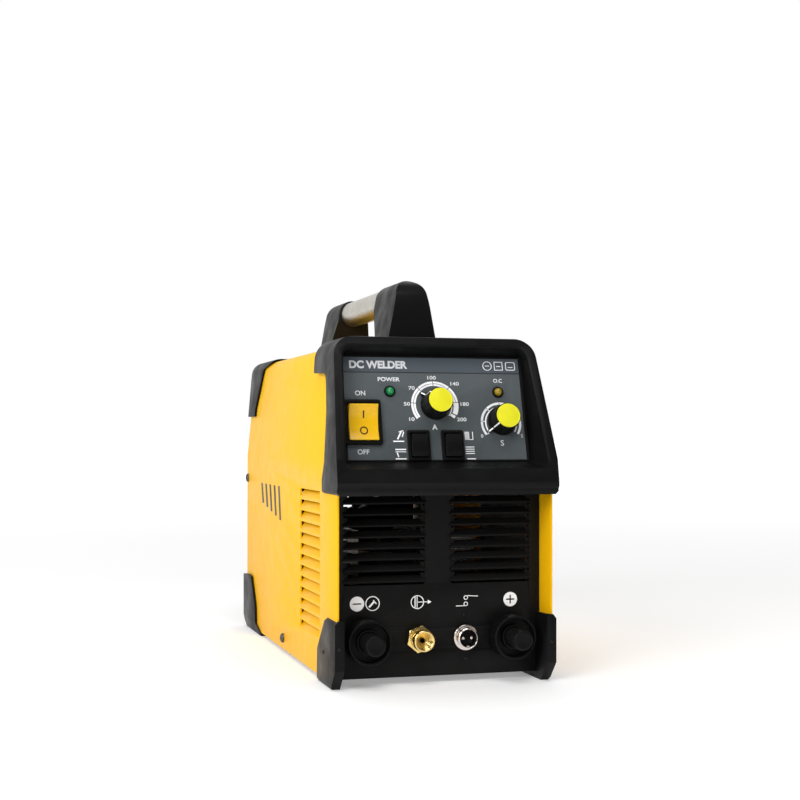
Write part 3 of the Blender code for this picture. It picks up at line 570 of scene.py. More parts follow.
def metal(name, colour, roughness, scratch=(1, 1, 1), grain=900, spread=0.1):
    """Bare metal with scratches drawn out along the axis whose scale is smallest."""
    look = Look(name, colour, roughness, 1.0)
    lines = look.noise(grain, 3, look.stretched(scratch))
    look.rough(look.ranged(lines, roughness - spread / 2, roughness + spread))
    look.mottle(130, 4, 0.45, shaded(colour, 0.7))
    look.bump(lines, 0.01, 0.4)
    return look.material


def lathe_metal(name, colour, roughness):
    """Turned metal: fine tool rings, and tarnish in patches."""
    look = Look(name, colour, roughness, 1.0)
    rings = look.rings(1400, 0.6)
    look.bump(rings, 0.012, 0.15)
    look.mottle(110, 3, 0.22, shaded(colour, 0.62))
    look.rough(look.ranged(look.noise(500, 3), roughness - 0.04, roughness + 0.07))
    return look.material


def lens(name, colour, glow):
    """A coloured clear lens over a small lamp."""
    look = Look(name, colour, 0.12, Transmission_Weight=0.35, IOR=1.49, Coat_Weight=0.6, Coat_Roughness=0.05)
    look.shader.inputs["Emission Color"].default_value = (*glow, 1)
    look.shader.inputs["Emission Strength"].default_value = 0.2
    look.mottle(700, 2, 0.4, shaded(colour, 0.5))
    look.rough(look.ranged(look.noise(1500, 2), 0.06, 0.2))
    return look.material


def board_look():
    """Solder mask with pads, tracks and dark parts."""
    look = Look("circuit_board", (0.015, 0.13, 0.04), 0.4)
    node = look.add("ShaderNodeTexBrick", {"Vector": look.place}, Scale=160.0, Mortar_Size=0.04)
    look.tint(look.ranged(node.outputs["Fac"], 0.0, 0.6, 0.2, 0.8), (0.3, 0.2, 0.05))
    look.tint(look.ranged(look.noise(90, 1), 0.0, 0.9, 0.55, 0.6), (0.02, 0.02, 0.02))
    look.bump(look.noise(90, 1), 0.8, 0.4)
    return look.material


def winding_look():
    """Enamelled wire laid side by side."""
    look = Look("copper_winding", (0.45, 0.15, 0.04), 0.3, 0.7)
    node = look.add("ShaderNodeTexWave", {"Vector": look.place}, Scale=180.0, Distortion=1.5)
    look.tint(look.ranged(node.outputs["Fac"], 0.0, 0.7, 0.3, 0.8), (0.12, 0.03, 0.01))
    look.bump(node.outputs["Fac"], 0.4, 0.6)
    return look.material


YELLOW = powder_coat("yellow_paint", (0.9, 0.5, 0.005), (0.88, 0.42, 0.002))
BLACK = moulded("black_plastic", (0.005, 0.0049, 0.0049), 0.42, Specular_IOR_Level=0.1)
PLATE = moulded("grey_plate", (0.068, 0.079, 0.084), 0.5, 0.03, 0.2, Specular_IOR_Level=0.22)
TITLE = moulded("title_strip", (0.058, 0.071, 0.084), 0.5, 0.03, 0.2, Specular_IOR_Level=0.22)
CAP = moulded("yellow_plastic", (0.76, 0.72, 0.02), 0.36, 0.02, 0.15, Specular_IOR_Level=0.25)
AMBER = moulded("amber_plastic", (0.92, 0.52, 0.008), 0.26, 0.01, 0.1, Specular_IOR_Level=0.3)
GREEN_LENS = lens("green_lens", (0.005, 0.2, 0.05), (0.0, 0.5, 0.15))
AMBER_LENS = lens("amber_lens", (0.35, 0.25, 0.01), (0.5, 0.3, 0.0))
BRASS = lathe_metal("brass", (0.95, 0.7, 0.27), 0.2)
NICKEL = lathe_metal("nickel", (0.78, 0.72, 0.68), 0.16)
metal("steel", (0.5, 0.5, 0.5), 0.34)
ALUMINIUM = metal("aluminium", (0.5, 0.48, 0.42), 0.3, (1, 0.03, 1), 1600, 0.12)
board_look()
FERRITE = moulded("ferrite", (0.04, 0.04, 0.045), 0.6, 0.2)
winding_look()
moulded("capacitor_sleeve", (0.02, 0.03, 0.09), 0.3, 0.02)
moulded("blue_hose", (0.03, 0.12, 0.4), 0.4, 0.03)
WHITE_INK = moulded("white_ink", (0.78, 0.79, 0.81), 0.5, 0.01)
BLACK_INK = moulded("black_ink", (0.012, 0.01, 0.009), 0.5, 0.01)
BROWN_INK = moulded("brown_ink", (0.08, 0.024, 0.0), 0.5, 0.01)
DARK_STEEL = metal("dark_steel", (0.12, 0.11, 0.1), 0.35)
BLACK_STEEL = metal("black_steel", (0.035, 0.034, 0.033), 0.42)
# Painted shade: a darker, less glossy copy of the black plastic for the louvre slats, standing in for the shade
# inside the louvre blocks.
SHADED_SLAT_BLACK = moulded("shaded_slat_black", (0.0028, 0.0027, 0.0027), 0.5, Specular_IOR_Level=0.05)


# ---- casing


def build_cover():
    sheet = front_prism(0, COVER_DEPTH, cover_outline() + cover_outline(-COVER_SHEET)[::-1])
    nose = [(-5, KNEE_Z - 1), (20.5, KNEE_Z - 1), (42, 227.3), (42, 240), (-5, 240)]
    toe = [(-10, -5), (-10, 25), (14.5, -1.05), (14.5, -5)]
    slots = []
    for side in (-1, 1):
        for i in range(LOUVRES):
            top = LOUVRE_FIRST - i * LOUVRE_PITCH
            inner, outer = span(side, COVER_INNER - 2, COVER_HALF + 1)
            slots.append(((inner, LOUVRE_FRONT, top - LOUVRE_SLOT), (outer, LOUVRE_REAR, top)))
    sheet = combined(sheet, "DIFFERENCE", through(nose), through(toe), blocks(*slots))
    piece("cover", bevelled(sheet, 0.25, 2, 50), YELLOW, nodes=["cover_shell"])
    piece("side_louvres", bevelled(merged(*louvre_slats()), 0.25, 2, 50), YELLOW)
    liner = [(27, 48), (46, 48), (46, 26), (120, 26), (120, 134), (27, 134)]
    for side, word in SIDES:
        inner, outer = span(side, COVER_INNER - 8.3, COVER_INNER - 7.5)
        piece(f"insulating_liner_{word}", side_prism(inner, outer, eased(liner, 3)), FERRITE)


def louvre_slats():
    """The strips that are pushed inwards, hinged on each slot's lower edge."""
    steps = 6
    for side in (-1, 1):
        loops = []
        for i in range(LOUVRES):
            low = LOUVRE_FIRST - i * LOUVRE_PITCH - LOUVRE_SLOT
            rise = []
            for part in [k / steps for k in range(steps + 1)]:
                rise.append((COVER_HALF - 0.02 - LOUVRE_PUSH * part**1.3, low - 0.4 + LOUVRE_SLOT * part))
            loop = rise + [(x - COVER_SHEET, z + 0.3) for x, z in reversed(rise)]
            loops.append(loop if side > 0 else mirrored(loop))
        yield front_prism(LOUVRE_FRONT + 0.15, LOUVRE_REAR - 0.15, *loops)


def build_side_marks():
    """A plain generic mark of slanted bars on each side."""
    for side, word in SIDES:
        bars = []
        for i in range(5):
            start, low = 186 + i * 18, 100 + 2.5 * i
            bars.append([(start, low), (start + 7, low), (start + 13, 126), (start + 6, 126)])
        inner, outer = span(side, COVER_HALF + 0.02, COVER_HALF + 0.02 + INK)
        piece(f"side_mark_{word}", side_prism(inner, outer, *bars), BLACK_INK)


def rim_depth(z):
    return RIM_DEPTH + RIM_SLOPE * (z - RIM_Z)


def plate_place(x, up, out=0.0):
    """A place on the control plate as (x, depth, z)."""
    spot = FACE @ (Vector((x, up, out)) * MM) / MM
    return Vector((spot.x, spot.y - FRONT, spot.z))


def hood_recess(lip=1.5, steps=5):
    """The cutter for the hood's recess, flared at its mouth so that the rim is rounded."""
    window = rounded_frame(PLATE_HALF + GAP, PLATE_HALF + GAP, PLATE_RISE + GAP, -PLATE_RISE - GAP, 1.8, 1.8)
    face = [plate_place(x, up) for x, up in window]

    def ring(offset, inwards):
        halves, heights = (64.4 + offset, 69.4 + offset), (224.5 + offset, 142.8 - offset)
        wide = rounded_frame(*halves, *heights, 8 + offset, 5 + offset)
        outer = [Vector((x, rim_depth(z), z)) for x, z in wide]
        return [dot + (to - dot).normalized() * inwards for dot, to in zip(outer, face)]

    angles = [math.pi / 2 * (1 - k / steps) for k in range(steps + 1)]
    flare = [ring(lip * (1 - math.cos(a)), lip * (1 - math.sin(a))) for a in angles]
    return loft([ring(lip, -8), *flare, face, [plate_place(x, up, -5) for x, up in window]])


def build_hood():
    top_half = HOOD_HALF - (HOOD_TOP - HOOD_CORNER - RIM_Z) * math.tan(math.radians(HOOD_TILT))
    half = [(HOOD_HALF - 2, HOOD_LOW), (HOOD_HALF, HOOD_LOW + 2), (HOOD_HALF, RIM_Z)]
    half += arc((top_half - HOOD_CORNER, HOOD_TOP - HOOD_CORNER), HOOD_CORNER, HOOD_TILT, 90, 14)
    side = [(CHIN_DEPTH + 1.4, HOOD_LOW), (CHIN_DEPTH + 1.4, 129.8), (CHIN_DEPTH, 131.3), (CHIN_DEPTH, 134.4),
            (RIM_DEPTH, RIM_Z), (rim_depth(226), 226), (29, HOOD_TOP), (60, 230.6), (81, 229), (81, 208),
            (43, 206.7), (33.6, 181.8), (30, KNEE_Z), (37.5, 136), (37.5, HOOD_LOW)]
    ease = [0, 0, 0, 3, 6, 3, 2, 0, 2, 3, 10, 20, 6, 3, 1]
    solid = front_prism(-20, 100, half + mirrored(half))
    solid = combined(solid, "INTERSECT", through(eased(side, ease)))
    solid = bevelled(solid, 1.1, 3)
    behind = [(PANEL_DEPTH - GAP, 100), (PANEL_DEPTH - GAP, KNEE_Z), (39, 218.8), (39, 240), (90, 240),
              (90, 100)]
    cavity = combined(front_prism(-20, 100, cover_outline(GAP, 90)), "INTERSECT", through(behind))
    slots = [span(side, COVER_INNER - GAP, COVER_HALF + GAP) for side in (-1, 1)]
    walls = [((low, -GAP, 100), (high, PANEL_DEPTH + 3, KNEE_Z - 0.6)) for low, high in slots]
    solid = combined(solid, "DIFFERENCE", cavity, blocks(*walls), hood_recess())
    piece("hood", solid, BLACK, nodes=["hood_bezel"], smooth=34)


def build_front_panel():
    holes = [(middle_in(ROW, node), radius) for node, radius in PANEL_HOLES.items()]
    middle_x, width = (BLOCK_INNER + BLOCK_OUTER) / 2, BLOCK_OUTER - BLOCK_INNER
    middle_z, height = (BLOCK_LOW + BLOCK_HIGH) / 2, BLOCK_HIGH - BLOCK_LOW
    outline = rectangle((0, (PANEL_LOW.z + PANEL_HIGH.z) / 2), 2 * PANEL_HIGH.x, PANEL_HIGH.z - PANEL_LOW.z)
    loops = [eased(rectangle((side * middle_x, middle_z), width, height), 1.2) for side in (-1, 1)]
    loops += [circle((spot.x, spot.y), radius) for spot, radius in holes]
    panel = slab(PANEL_SHEET, outline, *loops, place=raised(-PANEL_SHEET / 2))
    piece("lower_panel", bevelled(panel, 0.4, 2), BLACK, nodes=["front_panel"], place=ROW)
    slope, pitch = math.radians(SLAT_SLOPE), height / SLATS
    slats = []
    for side in (-1, 1):
        loops = []
        for i in range(SLATS):
            z = BLOCK_LOW + (i + 0.5) * pitch
            blade = eased(rectangle((0, 0), 7.0, 1.7), 0.8, 3)
            loops.append([(PANEL_DEPTH + PANEL_SHEET / 2 + x * math.cos(slope) - y * math.sin(slope),
                           z + x * math.sin(slope) + y * math.cos(slope)) for x, y in blade])
        inner, outer = span(side, BLOCK_INNER - 0.5, BLOCK_OUTER + 0.5)
        slats.append(side_prism(inner, outer, *loops))
    corners = []
    for end, inwards in ((BLOCK_INNER, 3.2), (BLOCK_OUTER, -3.2), (-BLOCK_INNER, -3.2), (-BLOCK_OUTER, 3.2)):
        for i in range(SLATS):
            low = BLOCK_LOW + i * pitch
            corners.append([(end - inwards * 0.1, low + 0.4), (end, low + 0.4), (end + inwards, low + pitch),
                            (end - inwards * 0.1, low + pitch)])
    slats.append(front_prism(PANEL_DEPTH + 0.8, PANEL_DEPTH + 2.6, *corners))
    # The louvre slats and end wedges take the darker copy of the black plastic, which paints shade into the louvre
    # blocks.
    piece("front_louvres", merged(*slats), SHADED_SLAT_BLACK)


def build_guards():
    for row in ("front_guard", "rear_guard", "rear_top_guard"):
        for word in ("left", "right"):
            node = f"{row}_{word}"
            piece(f"{node}_shell", cad_copy(node, 0.9), BLACK, nodes=[node])


# ---- handle


def handle_post(name, node, side_view, ease, bore_front, bore_rear):
    tube = middle_in(Matrix.Identity(4), "handle_tube")
    low, high = [corner.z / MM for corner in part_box(node)]
    sleeve, base = high - tube.z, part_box(node)[1].x / MM
    half = [(base, low), (base, low + 3), *arc((0, tube.z), sleeve, 8, 90, 14)]
    depths = [depth for depth, _ in side_view]
    solid = front_prism(min(depths) - 1, max(depths) + 1, half + mirrored(half[:-1]))
    solid = combined(solid, "INTERSECT", side_prism(-30, 30, eased(side_view, ease)))
    solid = bevelled(solid, 4.2, 6)
    bore = front_prism(bore_front, bore_rear, circle((0, tube.z), TUBE_RADIUS + GAP, 64))
    piece(name, combined(solid, "DIFFERENCE", bore), BLACK, nodes=[node], smooth=34)


def build_handle():
    low, high = COVER_TOP + GAP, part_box("handle_front_post")[1].z / MM + 1
    front = [(82, low), (81.5, 258), (83.5, 266), (89, 273), (99, high), (137, high), (140.5, 272),
             (140.5, 258), (130, 246), (121, 236), (117, low)]
    rear = [(304, low), (306, 258), (304.5, 268), (301, 274), (296, high), (260, high), (256, 272),
            (256, 258), (263, 246), (268, 236), (270, low)]
    ease = [0, 20, 12, 14, 12, 4, 4, 4, 12, 12, 0]
    tube_front, tube_rear = [corner.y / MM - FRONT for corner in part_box("handle_tube")]
    handle_post("handle_post_front", "handle_front_post", front, ease, tube_front - GAP, 160)
    handle_post("handle_post_rear", "handle_rear_post", rear, ease, 250, tube_rear + GAP)
    tube = middle_in(Matrix.Identity(4), "handle_tube")
    length = tube_rear - tube_front
    profile = [(TUBE_RADIUS, 0), (TUBE_RADIUS, length), (TUBE_BORE, length), (TUBE_BORE, 0)]
    place = frame_at(Vector((tube.x, FRONT + tube_rear, tube.z)) * MM)
    piece("handle_grip_tube", turned(profile, closed=True), ALUMINIUM, nodes=["handle_tube"], place=place)


# ---- controls


def text_mesh(words, height, bold=0.0):
    """Flat lettering of a given capital height, centred on its own origin."""
    curve = bpy.data.curves.new("words", "FONT")
    curve.body = words
    curve.size = 1
    curve.offset = bold
    mesh = evaluated(holder(curve))
    xs = [vertex.co.x for vertex in mesh.vertices]
    ys = [vertex.co.y for vertex in mesh.vertices]
    centre = Vector(((min(xs) + max(xs)) / 2, (min(ys) + max(ys)) / 2, 0))
    scale = height * MM / (max(ys) - min(ys))
    return moved(mesh, Matrix.Scale(scale, 4) @ Matrix.Translation(-centre))


def inked(words, x, y, height, bold=0.0, wide=1.0, lift=LABEL_SKIN + INK):
    """Lettering at a place on the label, widened by a factor."""
    place = Matrix.Translation(Vector((x, y, lift)) * MM) @ Matrix.Diagonal((wide, 1, 1, 1))
    return moved(text_mesh(words, height, bold), place)


def drawn(*loops, lift=LABEL_SKIN + INK / 2):
    """Printed shapes as a thin slab, on the label unless its height is given."""
    return slab(INK, *loops, place=raised(lift))


def dial_arc(centre, outer, width, first, last):
    """One arc of a dial scale, broken at each of its marks."""
    loops = []
    for i in range(first, last):
        start = DIAL_START - i * DIAL_STEP
        loops.append(band(centre, outer - width, outer, start - DIAL_STEP + 0.9, start - 0.9))
    return loops


def current_scale(centre):
    """A double arc that ends in a solid band and a block."""
    loops = dial_arc(centre, 16.6, 1.5, 0, 5) + dial_arc(centre, 14.75, 1.3, 0, 5)
    loops += [band(centre, 13.2, 16.6, -25, 6.1), band(centre, 12.5, 16.0, -36, -28)]
    return [*loops, band(centre, 11.6, 12.2, -38, 0)]


def slope_scale(centre):
    """An outer arc, a plain inner arc and a few marks between them."""
    loops = dial_arc(centre, 14.5, 1.6, 0, 6)
    loops.append(band(centre, 10.6, 11.5, DIAL_START - 6 * DIAL_STEP, DIAL_START, 48))
    return loops + [band(centre, 11.6, 13.0, angle - 1.2, angle + 1.2, 3) for angle in (217, 175, 133)]


def plate_outline(grow):
    half, rise = PLATE_HALF + grow, PLATE_RISE + grow
    return rounded_frame(half, half, rise, -rise, 1.5, 1.5)


def build_plate():
    switches = ("power_switch", "mode_switch_left", "mode_switch_right")
    power, left, right = [joint_in(FACE, name) for name in switches]
    current, slope = joint_in(FACE, "current_dial_turn"), joint_in(FACE, "slope_dial_turn")
    lamps = [middle_in(FACE, node) for node in ("power_led", "overload_led")]
    openings = [rectangle((power.x, power.y), *POWER_OPENING)]
    openings += [rectangle((spot.x, spot.y), *MODE_OPENING) for spot in (left, right)]
    openings += [circle((spot.x, spot.y), ROUND_OPENING) for spot in (current, slope, *lamps)]
    plate = slab(PLATE_SHEET, plate_outline(0), *openings, place=raised(-PLATE_SHEET / 2))
    piece("plate_back", plate, BLACK, nodes=["control_plate"], place=FACE)
    gasket = slab(1.0, plate_outline(0.25), plate_outline(-1.0), place=raised(-PLATE_SHEET - 0.6))
    piece("plate_gasket", gasket, BLACK, place=FACE)
    label = [(-LABEL_HALF, -35.7), (LABEL_HALF, -35.7), (LABEL_HALF, 35.4), (-LABEL_HALF, 35.4)]
    openings[0] = [(-LABEL_HALF - 1, power.y - 14.6), (power.x + 11.2, power.y - 14.6),
                   (power.x + 11.2, power.y + 14.6), (-LABEL_HALF - 1, power.y + 14.6)]
    skin = slab(LABEL_SKIN, label, place=raised(LABEL_SKIN / 2))
    cutter = slab(4, *openings)
    piece("plate_label", combined(skin, "DIFFERENCE", cutter), PLATE, place=FACE)
    strip = drawn(rectangle((0, 30.1), 2 * LABEL_HALF - 0.6, 10.2))
    piece("title_strip", strip, TITLE, place=FACE)
    piece("title_line", drawn(rectangle((0, 24.9), 2 * LABEL_HALF - 0.6, 0.7)), BLACK_INK, place=FACE)
    build_plate_print(power, current, slope, lamps, (left, right))


def mode_signs(left, right):
    """Small signs beside the mode switches: two ways to start the arc, and pulsed or steady current."""
    x, y = left.x - 12.8, left.y
    loops = [rectangle((x - 0.8, y + 3.0), 7.6, 0.8), bar((x - 1.5, y + 4.4), (x + 1.6, y + 10.2), 1.1),
             bar((x + 1.8, y + 6.0), (x + 3.0, y + 9.6), 0.8),
             bar((x - 0.4, y + 9.4), (x + 2.8, y + 10.4), 0.6)]
    loops += [rectangle((x, y - 9.0), 7.6, 0.8), rectangle((x + 0.2, y - 2.6), 7.4, 0.9),
              rectangle((x + 0.2, y - 4.2), 7.4, 0.5), bar((x - 2.4, y - 4.8), (x - 1.6, y - 7.8), 0.8)]
    x, y = right.x + 12.2, right.y
    loops += [rectangle((x - 2.7 + 2.7 * i, y + 6.8), 0.5, 5.6) for i in range(3)]
    loops += [rectangle((x - 1.35, y + 9.35), 2.7, 0.5), rectangle((x + 1.35, y + 4.2), 2.7, 0.5)]
    loops += [rectangle((x, y - 1.0 - 1.5 * i), 6.4, 0.5) for i in range(4)]
    loops.append(rectangle((x + 0.6, y - 9.2), 6.2, 0.7))
    return loops


def build_plate_print(power, current, slope, lamps, modes):
    sizes = ((10, -16.9, -7.7), (50, -19.6, 2.9), (70, -15.5, 14.0), (100, -0.9, 21.4), (140, 15.1, 17.3),
             (180, 21.1, 3.0), (200, 18.1, -7.8))
    words = [inked(str(number), x, y, 2.6, 0.02, 1.3) for number, x, y in sizes]
    labels = (
        ("POWER", lamps[0], 0, 8.5, 2.9, 0.03, 1.15), ("ON", power, -0.4, 20.4, 3.4, 0.015),
        ("OFF", power, -0.7, -20.0, 3.4, 0.015), ("A", current, -1.2, -15.1, 3.7, 0.03),
        ("O.C", lamps[1], 0.8, 8.2, 2.8, 0.02), ("S", slope, -0.9, -15.4, 4.0, 0.01),
        ("0", slope, -14.9, -10.5, 2.4, 0.01), ("5", slope, 13.6, -10.5, 2.4, 0.01),
    )
    words += [inked(text, spot.x + x, spot.y + y, *style) for text, spot, x, y, *style in labels]
    words.append(inked("DC WELDER", -37.6, TITLE_ROW, 5.6, 0.045, 1.0, LABEL_SKIN + 2 * INK))
    scales = current_scale((current.x + 0.1, current.y + 0.3)) + slope_scale((slope.x - 0.5, slope.y - 1.4))
    piece("plate_words", flat_merge(words), WHITE_INK, place=FACE)
    piece("plate_signs", drawn(*scales), WHITE_INK, place=FACE)
    piece("mode_signs", drawn(*mode_signs(*modes)), WHITE_INK, place=FACE)
    piece("title_marks", drawn(*title_marks(TITLE_ROW), lift=LABEL_SKIN + 1.6 * INK), WHITE_INK, place=FACE)


def title_marks(y):
    """Plain outlined shapes at the right of the title: a ring, a square with a bar, and a rounded box."""
    loops = [*hoop((39.5, y), 3.3, 2.8), rectangle((39.5, y), 3.0, 0.5)]
    loops += [rectangle((47.6, y), 6.2, 6.2), rectangle((47.6, y), 5.2, 5.2)]
    loops.append(rectangle((47.6, y - 0.2), 3.0, 0.5))
    outer, inner = rectangle((56.2, y), 7.0, 6.0), rectangle((56.2, y), 6.0, 5.0)
    return [*loops, eased(outer, 1.4), eased(inner, 1.0), rectangle((56.2, y - 0.8), 3.4, 0.5)]


def flat_merge(meshes):
    """Flat lettering in one mesh, kept facing out."""
    shape = bmesh.new()
    for mesh in meshes:
        shape.from_mesh(mesh)
    mesh = bpy.data.meshes.new("words")
    shape.to_mesh(mesh)
    shape.free()
    return mesh


def rocker_face(reach, lift):
    """The hollow face of a rocker, as (across its tilt axis, out)."""
    top = lift + 2.9
    half = math.asin(reach / ROCKER_RADIUS)
    centre = top + ROCKER_RADIUS * math.cos(half)
    return lambda y: centre - math.sqrt(ROCKER_RADIUS**2 - y**2), half, centre


def build_rocker(name, node, body, joint, width, reach, lift, tilt, look):
    spot = joint_in(FACE, joint)
    height, half, centre = rocker_face(reach, lift)
    face = arc((0, centre), ROCKER_RADIUS, 270 - math.degrees(half), 270 + math.degrees(half), 24)
    outline = [(-reach * 0.8, -4.5), (reach * 0.8, -4.5), (reach, -0.5), *reversed(face), (-reach, -0.5)]
    mesh = bevelled(slab(width, outline, place=ALONG_X), 0.5, 4, 40)
    place = on(FACE, spot.x, spot.y, tilt=tilt)
    piece(name, mesh, look, body, [node], place)
    return height, place


def laid_on(mesh, height, lift=0.03):
    """Lays flat printing on a surface whose height depends on y."""
    for vertex in mesh.vertices:
        vertex.co.z = (height(vertex.co.y / MM) + lift) * MM
    return mesh


def build_switch_body(name, node, joint, wide, tall, well_wide, well_tall, lift, corner):
    spot = joint_in(FACE, joint)
    hole = rectangle((0, 0), well_wide, well_tall)
    wall = rectangle((0, 0), well_wide + 1.6, well_tall + 1.6)
    rim = slab(lift - GAP, eased(rectangle((0, 0), wide, tall), corner), hole, place=raised((lift + GAP) / 2))
    well = slab(18, wall, hole, place=raised(lift - 0.8 - 9))
    floor = slab(1.6, wall, place=raised(-15.5))
    mesh = merged(bevelled(rim, 0.45, 3), well, floor)
    piece(name, mesh, BLACK, nodes=[node], place=on(FACE, spot.x, spot.y))


def build_switches():
    build_switch_body("power_switch_body", "power_switch_housing", "power_switch", 25.2, 30.8, 20.6, 26.0,
                      2.6, 2)
    height, place = build_rocker("power_rocker_cap", "power_rocker", "power_rocker", "power_switch", 20.0,
                                 12.05, 2.6, 8, AMBER)
    ring = slab(0.02, *hoop((0, -5.6), 2.8, 1.85, 64))
    steps = [5.2 + 5 * i / 8 - 2.5 for i in range(9)]
    stroke = slab(0.02, [(-0.52, y) for y in steps] + [(0.52, y) for y in reversed(steps)])
    piece("power_rocker_signs", laid_on(merged(ring, stroke), height), BROWN_INK, "power_rocker", place=place)
    for word in ("left", "right"):
        joint, rocker = f"mode_switch_{word}", f"mode_rocker_{word}"
        build_switch_body(f"{joint}_body", f"mode_switch_housing_{word}", joint, 15.3, 20.6, 11.8, 17.0,
                          2.0, 1.2)
        build_rocker(f"{rocker}_cap", rocker, rocker, joint, 11.2, 7.55, 2.0, 9, BLACK)


def fluted(profile, low, high, flutes=30, depth=0.28):
    """A turned shape whose side is fluted between two heights."""
    mesh = turned(profile, flutes * 6)
    for vertex in mesh.vertices:
        z = vertex.co.z / MM
        radius = math.hypot(vertex.co.x, vertex.co.y) / MM
        if low < z < high and radius > 8.2:
            angle = math.atan2(vertex.co.y, vertex.co.x)
            factor = 1 - depth * (0.5 - 0.5 * math.cos(flutes * angle)) ** 2 / radius
            vertex.co.x *= factor
            vertex.co.y *= factor
    return mesh


def build_dial(word, pointing):
    body, joint = f"{word}_dial", f"{word}_dial_turn"
    spot = joint_in(FACE, joint)
    place = on(FACE, spot.x, spot.y, turn=pointing)
    skirt = [(0, 14), (7.6, 14), (8.2, 13.95), (8.6, 13.7), (8.9, 13.3), (9.0, 12.8), (9.3, 5.4), (9.4, 4.8),
             (9.6, 4.1), (10.0, 3.0), (10.15, 2.7), (10.2, 2.4), (10.2, 0.8), (10, 0.6), (5, 0.6), (5, 8),
             (3.2, 8), (3.2, 12), (0, 12)]
    root = [(8.6, -2.4, 0.6), (8.6, 2.4, 0.6), (8.6, 2.0, 4.4), (8.6, -2.0, 4.4)]
    tip = [(12.8, -0.9, 0.6), (12.8, 0.9, 0.6), (12.8, 0.7, 1.5), (12.8, -0.7, 1.5)]
    nose = bevelled(loft([root, tip], (0, 0, 0)), 0.3, 3)
    knob = merged(fluted(skirt, 5.2, 12.9), nose)
    piece(f"{word}_dial_knob", knob, BLACK, body, [f"{word}_knob"], place)
    cap = [(0, 15.0), (7.0, 15.0), (7.2, 14.93), (7.4, 15.03), (7.75, 15.1), (8.05, 15.0), (8.2, 14.7),
           (8.2, 14.3), (0, 14.3)]
    piece(f"{word}_dial_cap", turned(cap), CAP, body, [f"{word}_knob_cap"], place)
    route = [(8.3, 13.97), (8.65, 13.74), (8.95, 13.32), (9.04, 12.8), (9.34, 5.4), (9.44, 4.6), (9.7, 3.72),
             (12.62, 1.7)]
    rings = []
    for r, z in route:
        rings.append([(r, -0.5, z), (r, 0.5, z), (r - 0.25, 0.5, z - 0.15), (r - 0.25, -0.5, z - 0.15)])
    piece(f"{word}_dial_pointer", loft(rings, (0, 0, 0)), WHITE_INK, body, place=place)


def build_lamp(name, node, look):
    spot = middle_in(FACE, node)
    dome = [(r, z + 1.5) for r, z in arc((0, 0), 2.6, 90, 8, 12)]
    place = on(FACE, spot.x, spot.y)
    lamp = [(0, dome[0][1]), *dome[1:], (2.62, 1.3), (2.62, -7), (0, -7)]
    ring = [(2.7, 1.45), (2.9, 1.6), (3.5, 1.5), (3.85, 1.1), (3.9, 0.8), (3.9, GAP), (3.4, GAP), (3.4, -7),
            (2.7, -7)]
    piece(name, turned(lamp, 64), look, nodes=[node], place=place)
    piece(f"{name}_ring", turned(ring, 64, closed=True), BLACK, place=place)


# ---- connector row


def build_sockets():
    for word in ("negative", "positive"):
        spot = middle_in(ROW, f"{word}_socket")
        place = on(ROW, spot.x, spot.y)
        body = [(13.1, 14.5), (14.7, 14.5), (14.7, GAP), (9, GAP), (9, -8), (7.0, -8), (7.0, 11.5),
                (8.4, 11.5), (8.4, 7.5), (13.1, 7.5)]
        ease = [0.4, 0.6, 0.2, 0, 0, 0, 0.3, 0.4, 0.2, 0.2]
        shell = turned(eased(body, ease, 4), closed=True)
        piece(f"{word}_socket_body", shell, BLACK, nodes=[f"{word}_socket"], place=place)
        reach = (ROW.inverted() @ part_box(f"{word}_dust_plug")[0]).z / MM
        plug = [(0, reach - 0.15), (4.2, reach - 0.15), (4.6, reach), (5.6, reach), (6.2, reach - 0.15),
                (6.55, reach - 0.5), (6.7, reach - 1.1), (6.7, 5.4), (4.3, 5.4), (4.3, -12), (0, -12)]
        piece(f"{word}_plug_body", turned(plug), BLACK, f"{word}_plug", [f"{word}_dust_plug"], place)
        contact = [(0, -14), (4.6, -14), (4.6, 4.6), (5.0, 5), (6.7, 5), (6.7, -30), (0, -30)]
        piece(f"{word}_contact_ring", turned(contact), BRASS, nodes=[f"{word}_contact"], place=place)


def hexagon(radius, low, high, chamfer, turn=90.0, bore=4.4):
    """A hexagonal head with its corners turned off at the top."""
    corners = [(radius * math.cos(a), radius * math.sin(a))
               for a in (math.radians(turn + 60 * i) for i in range(6))]
    flat = slab(high - low, corners, place=raised((low + high) / 2))
    edge = radius - chamfer
    cone = turned([(0, high + 0.01), (edge, high + 0.01), (radius + 0.1, high - chamfer * 0.58),
                   (radius + 0.1, low - 1), (0, low - 1)])
    hole = turned([(0, high + 2), (bore, high + 2), (bore, low - 2), (0, low - 2)], 48)
    return combined(combined(flat, "INTERSECT", cone), "DIFFERENCE", hole)


def build_gas_outlet():
    spot = middle_in(ROW, "gas_outlet_fitting")
    head = bevelled(hexagon(9.3, 0.5, 4.9, 0.9, 80), 0.2, 2)
    nose = [(1.7, 10.5), (1.95, 10.75), (5.5, 14.5), (5.8, 14.85), (6.2, 15), (6.6, 14.95), (6.95, 14.7),
            (7.1, 14.3), (7.1, 5.6), (6.8, 5.2), (6.8, GAP), (1.7, GAP)]
    tail = [(1.7, 1), (6.0, 1), (6.0, -10), (4, -10), (4, -18), (1.7, -18)]
    mesh = merged(head, turned(nose, closed=True), turned(tail, closed=True))
    piece("gas_outlet_body", mesh, BRASS, nodes=["gas_outlet_fitting"], place=on(ROW, spot.x, spot.y))


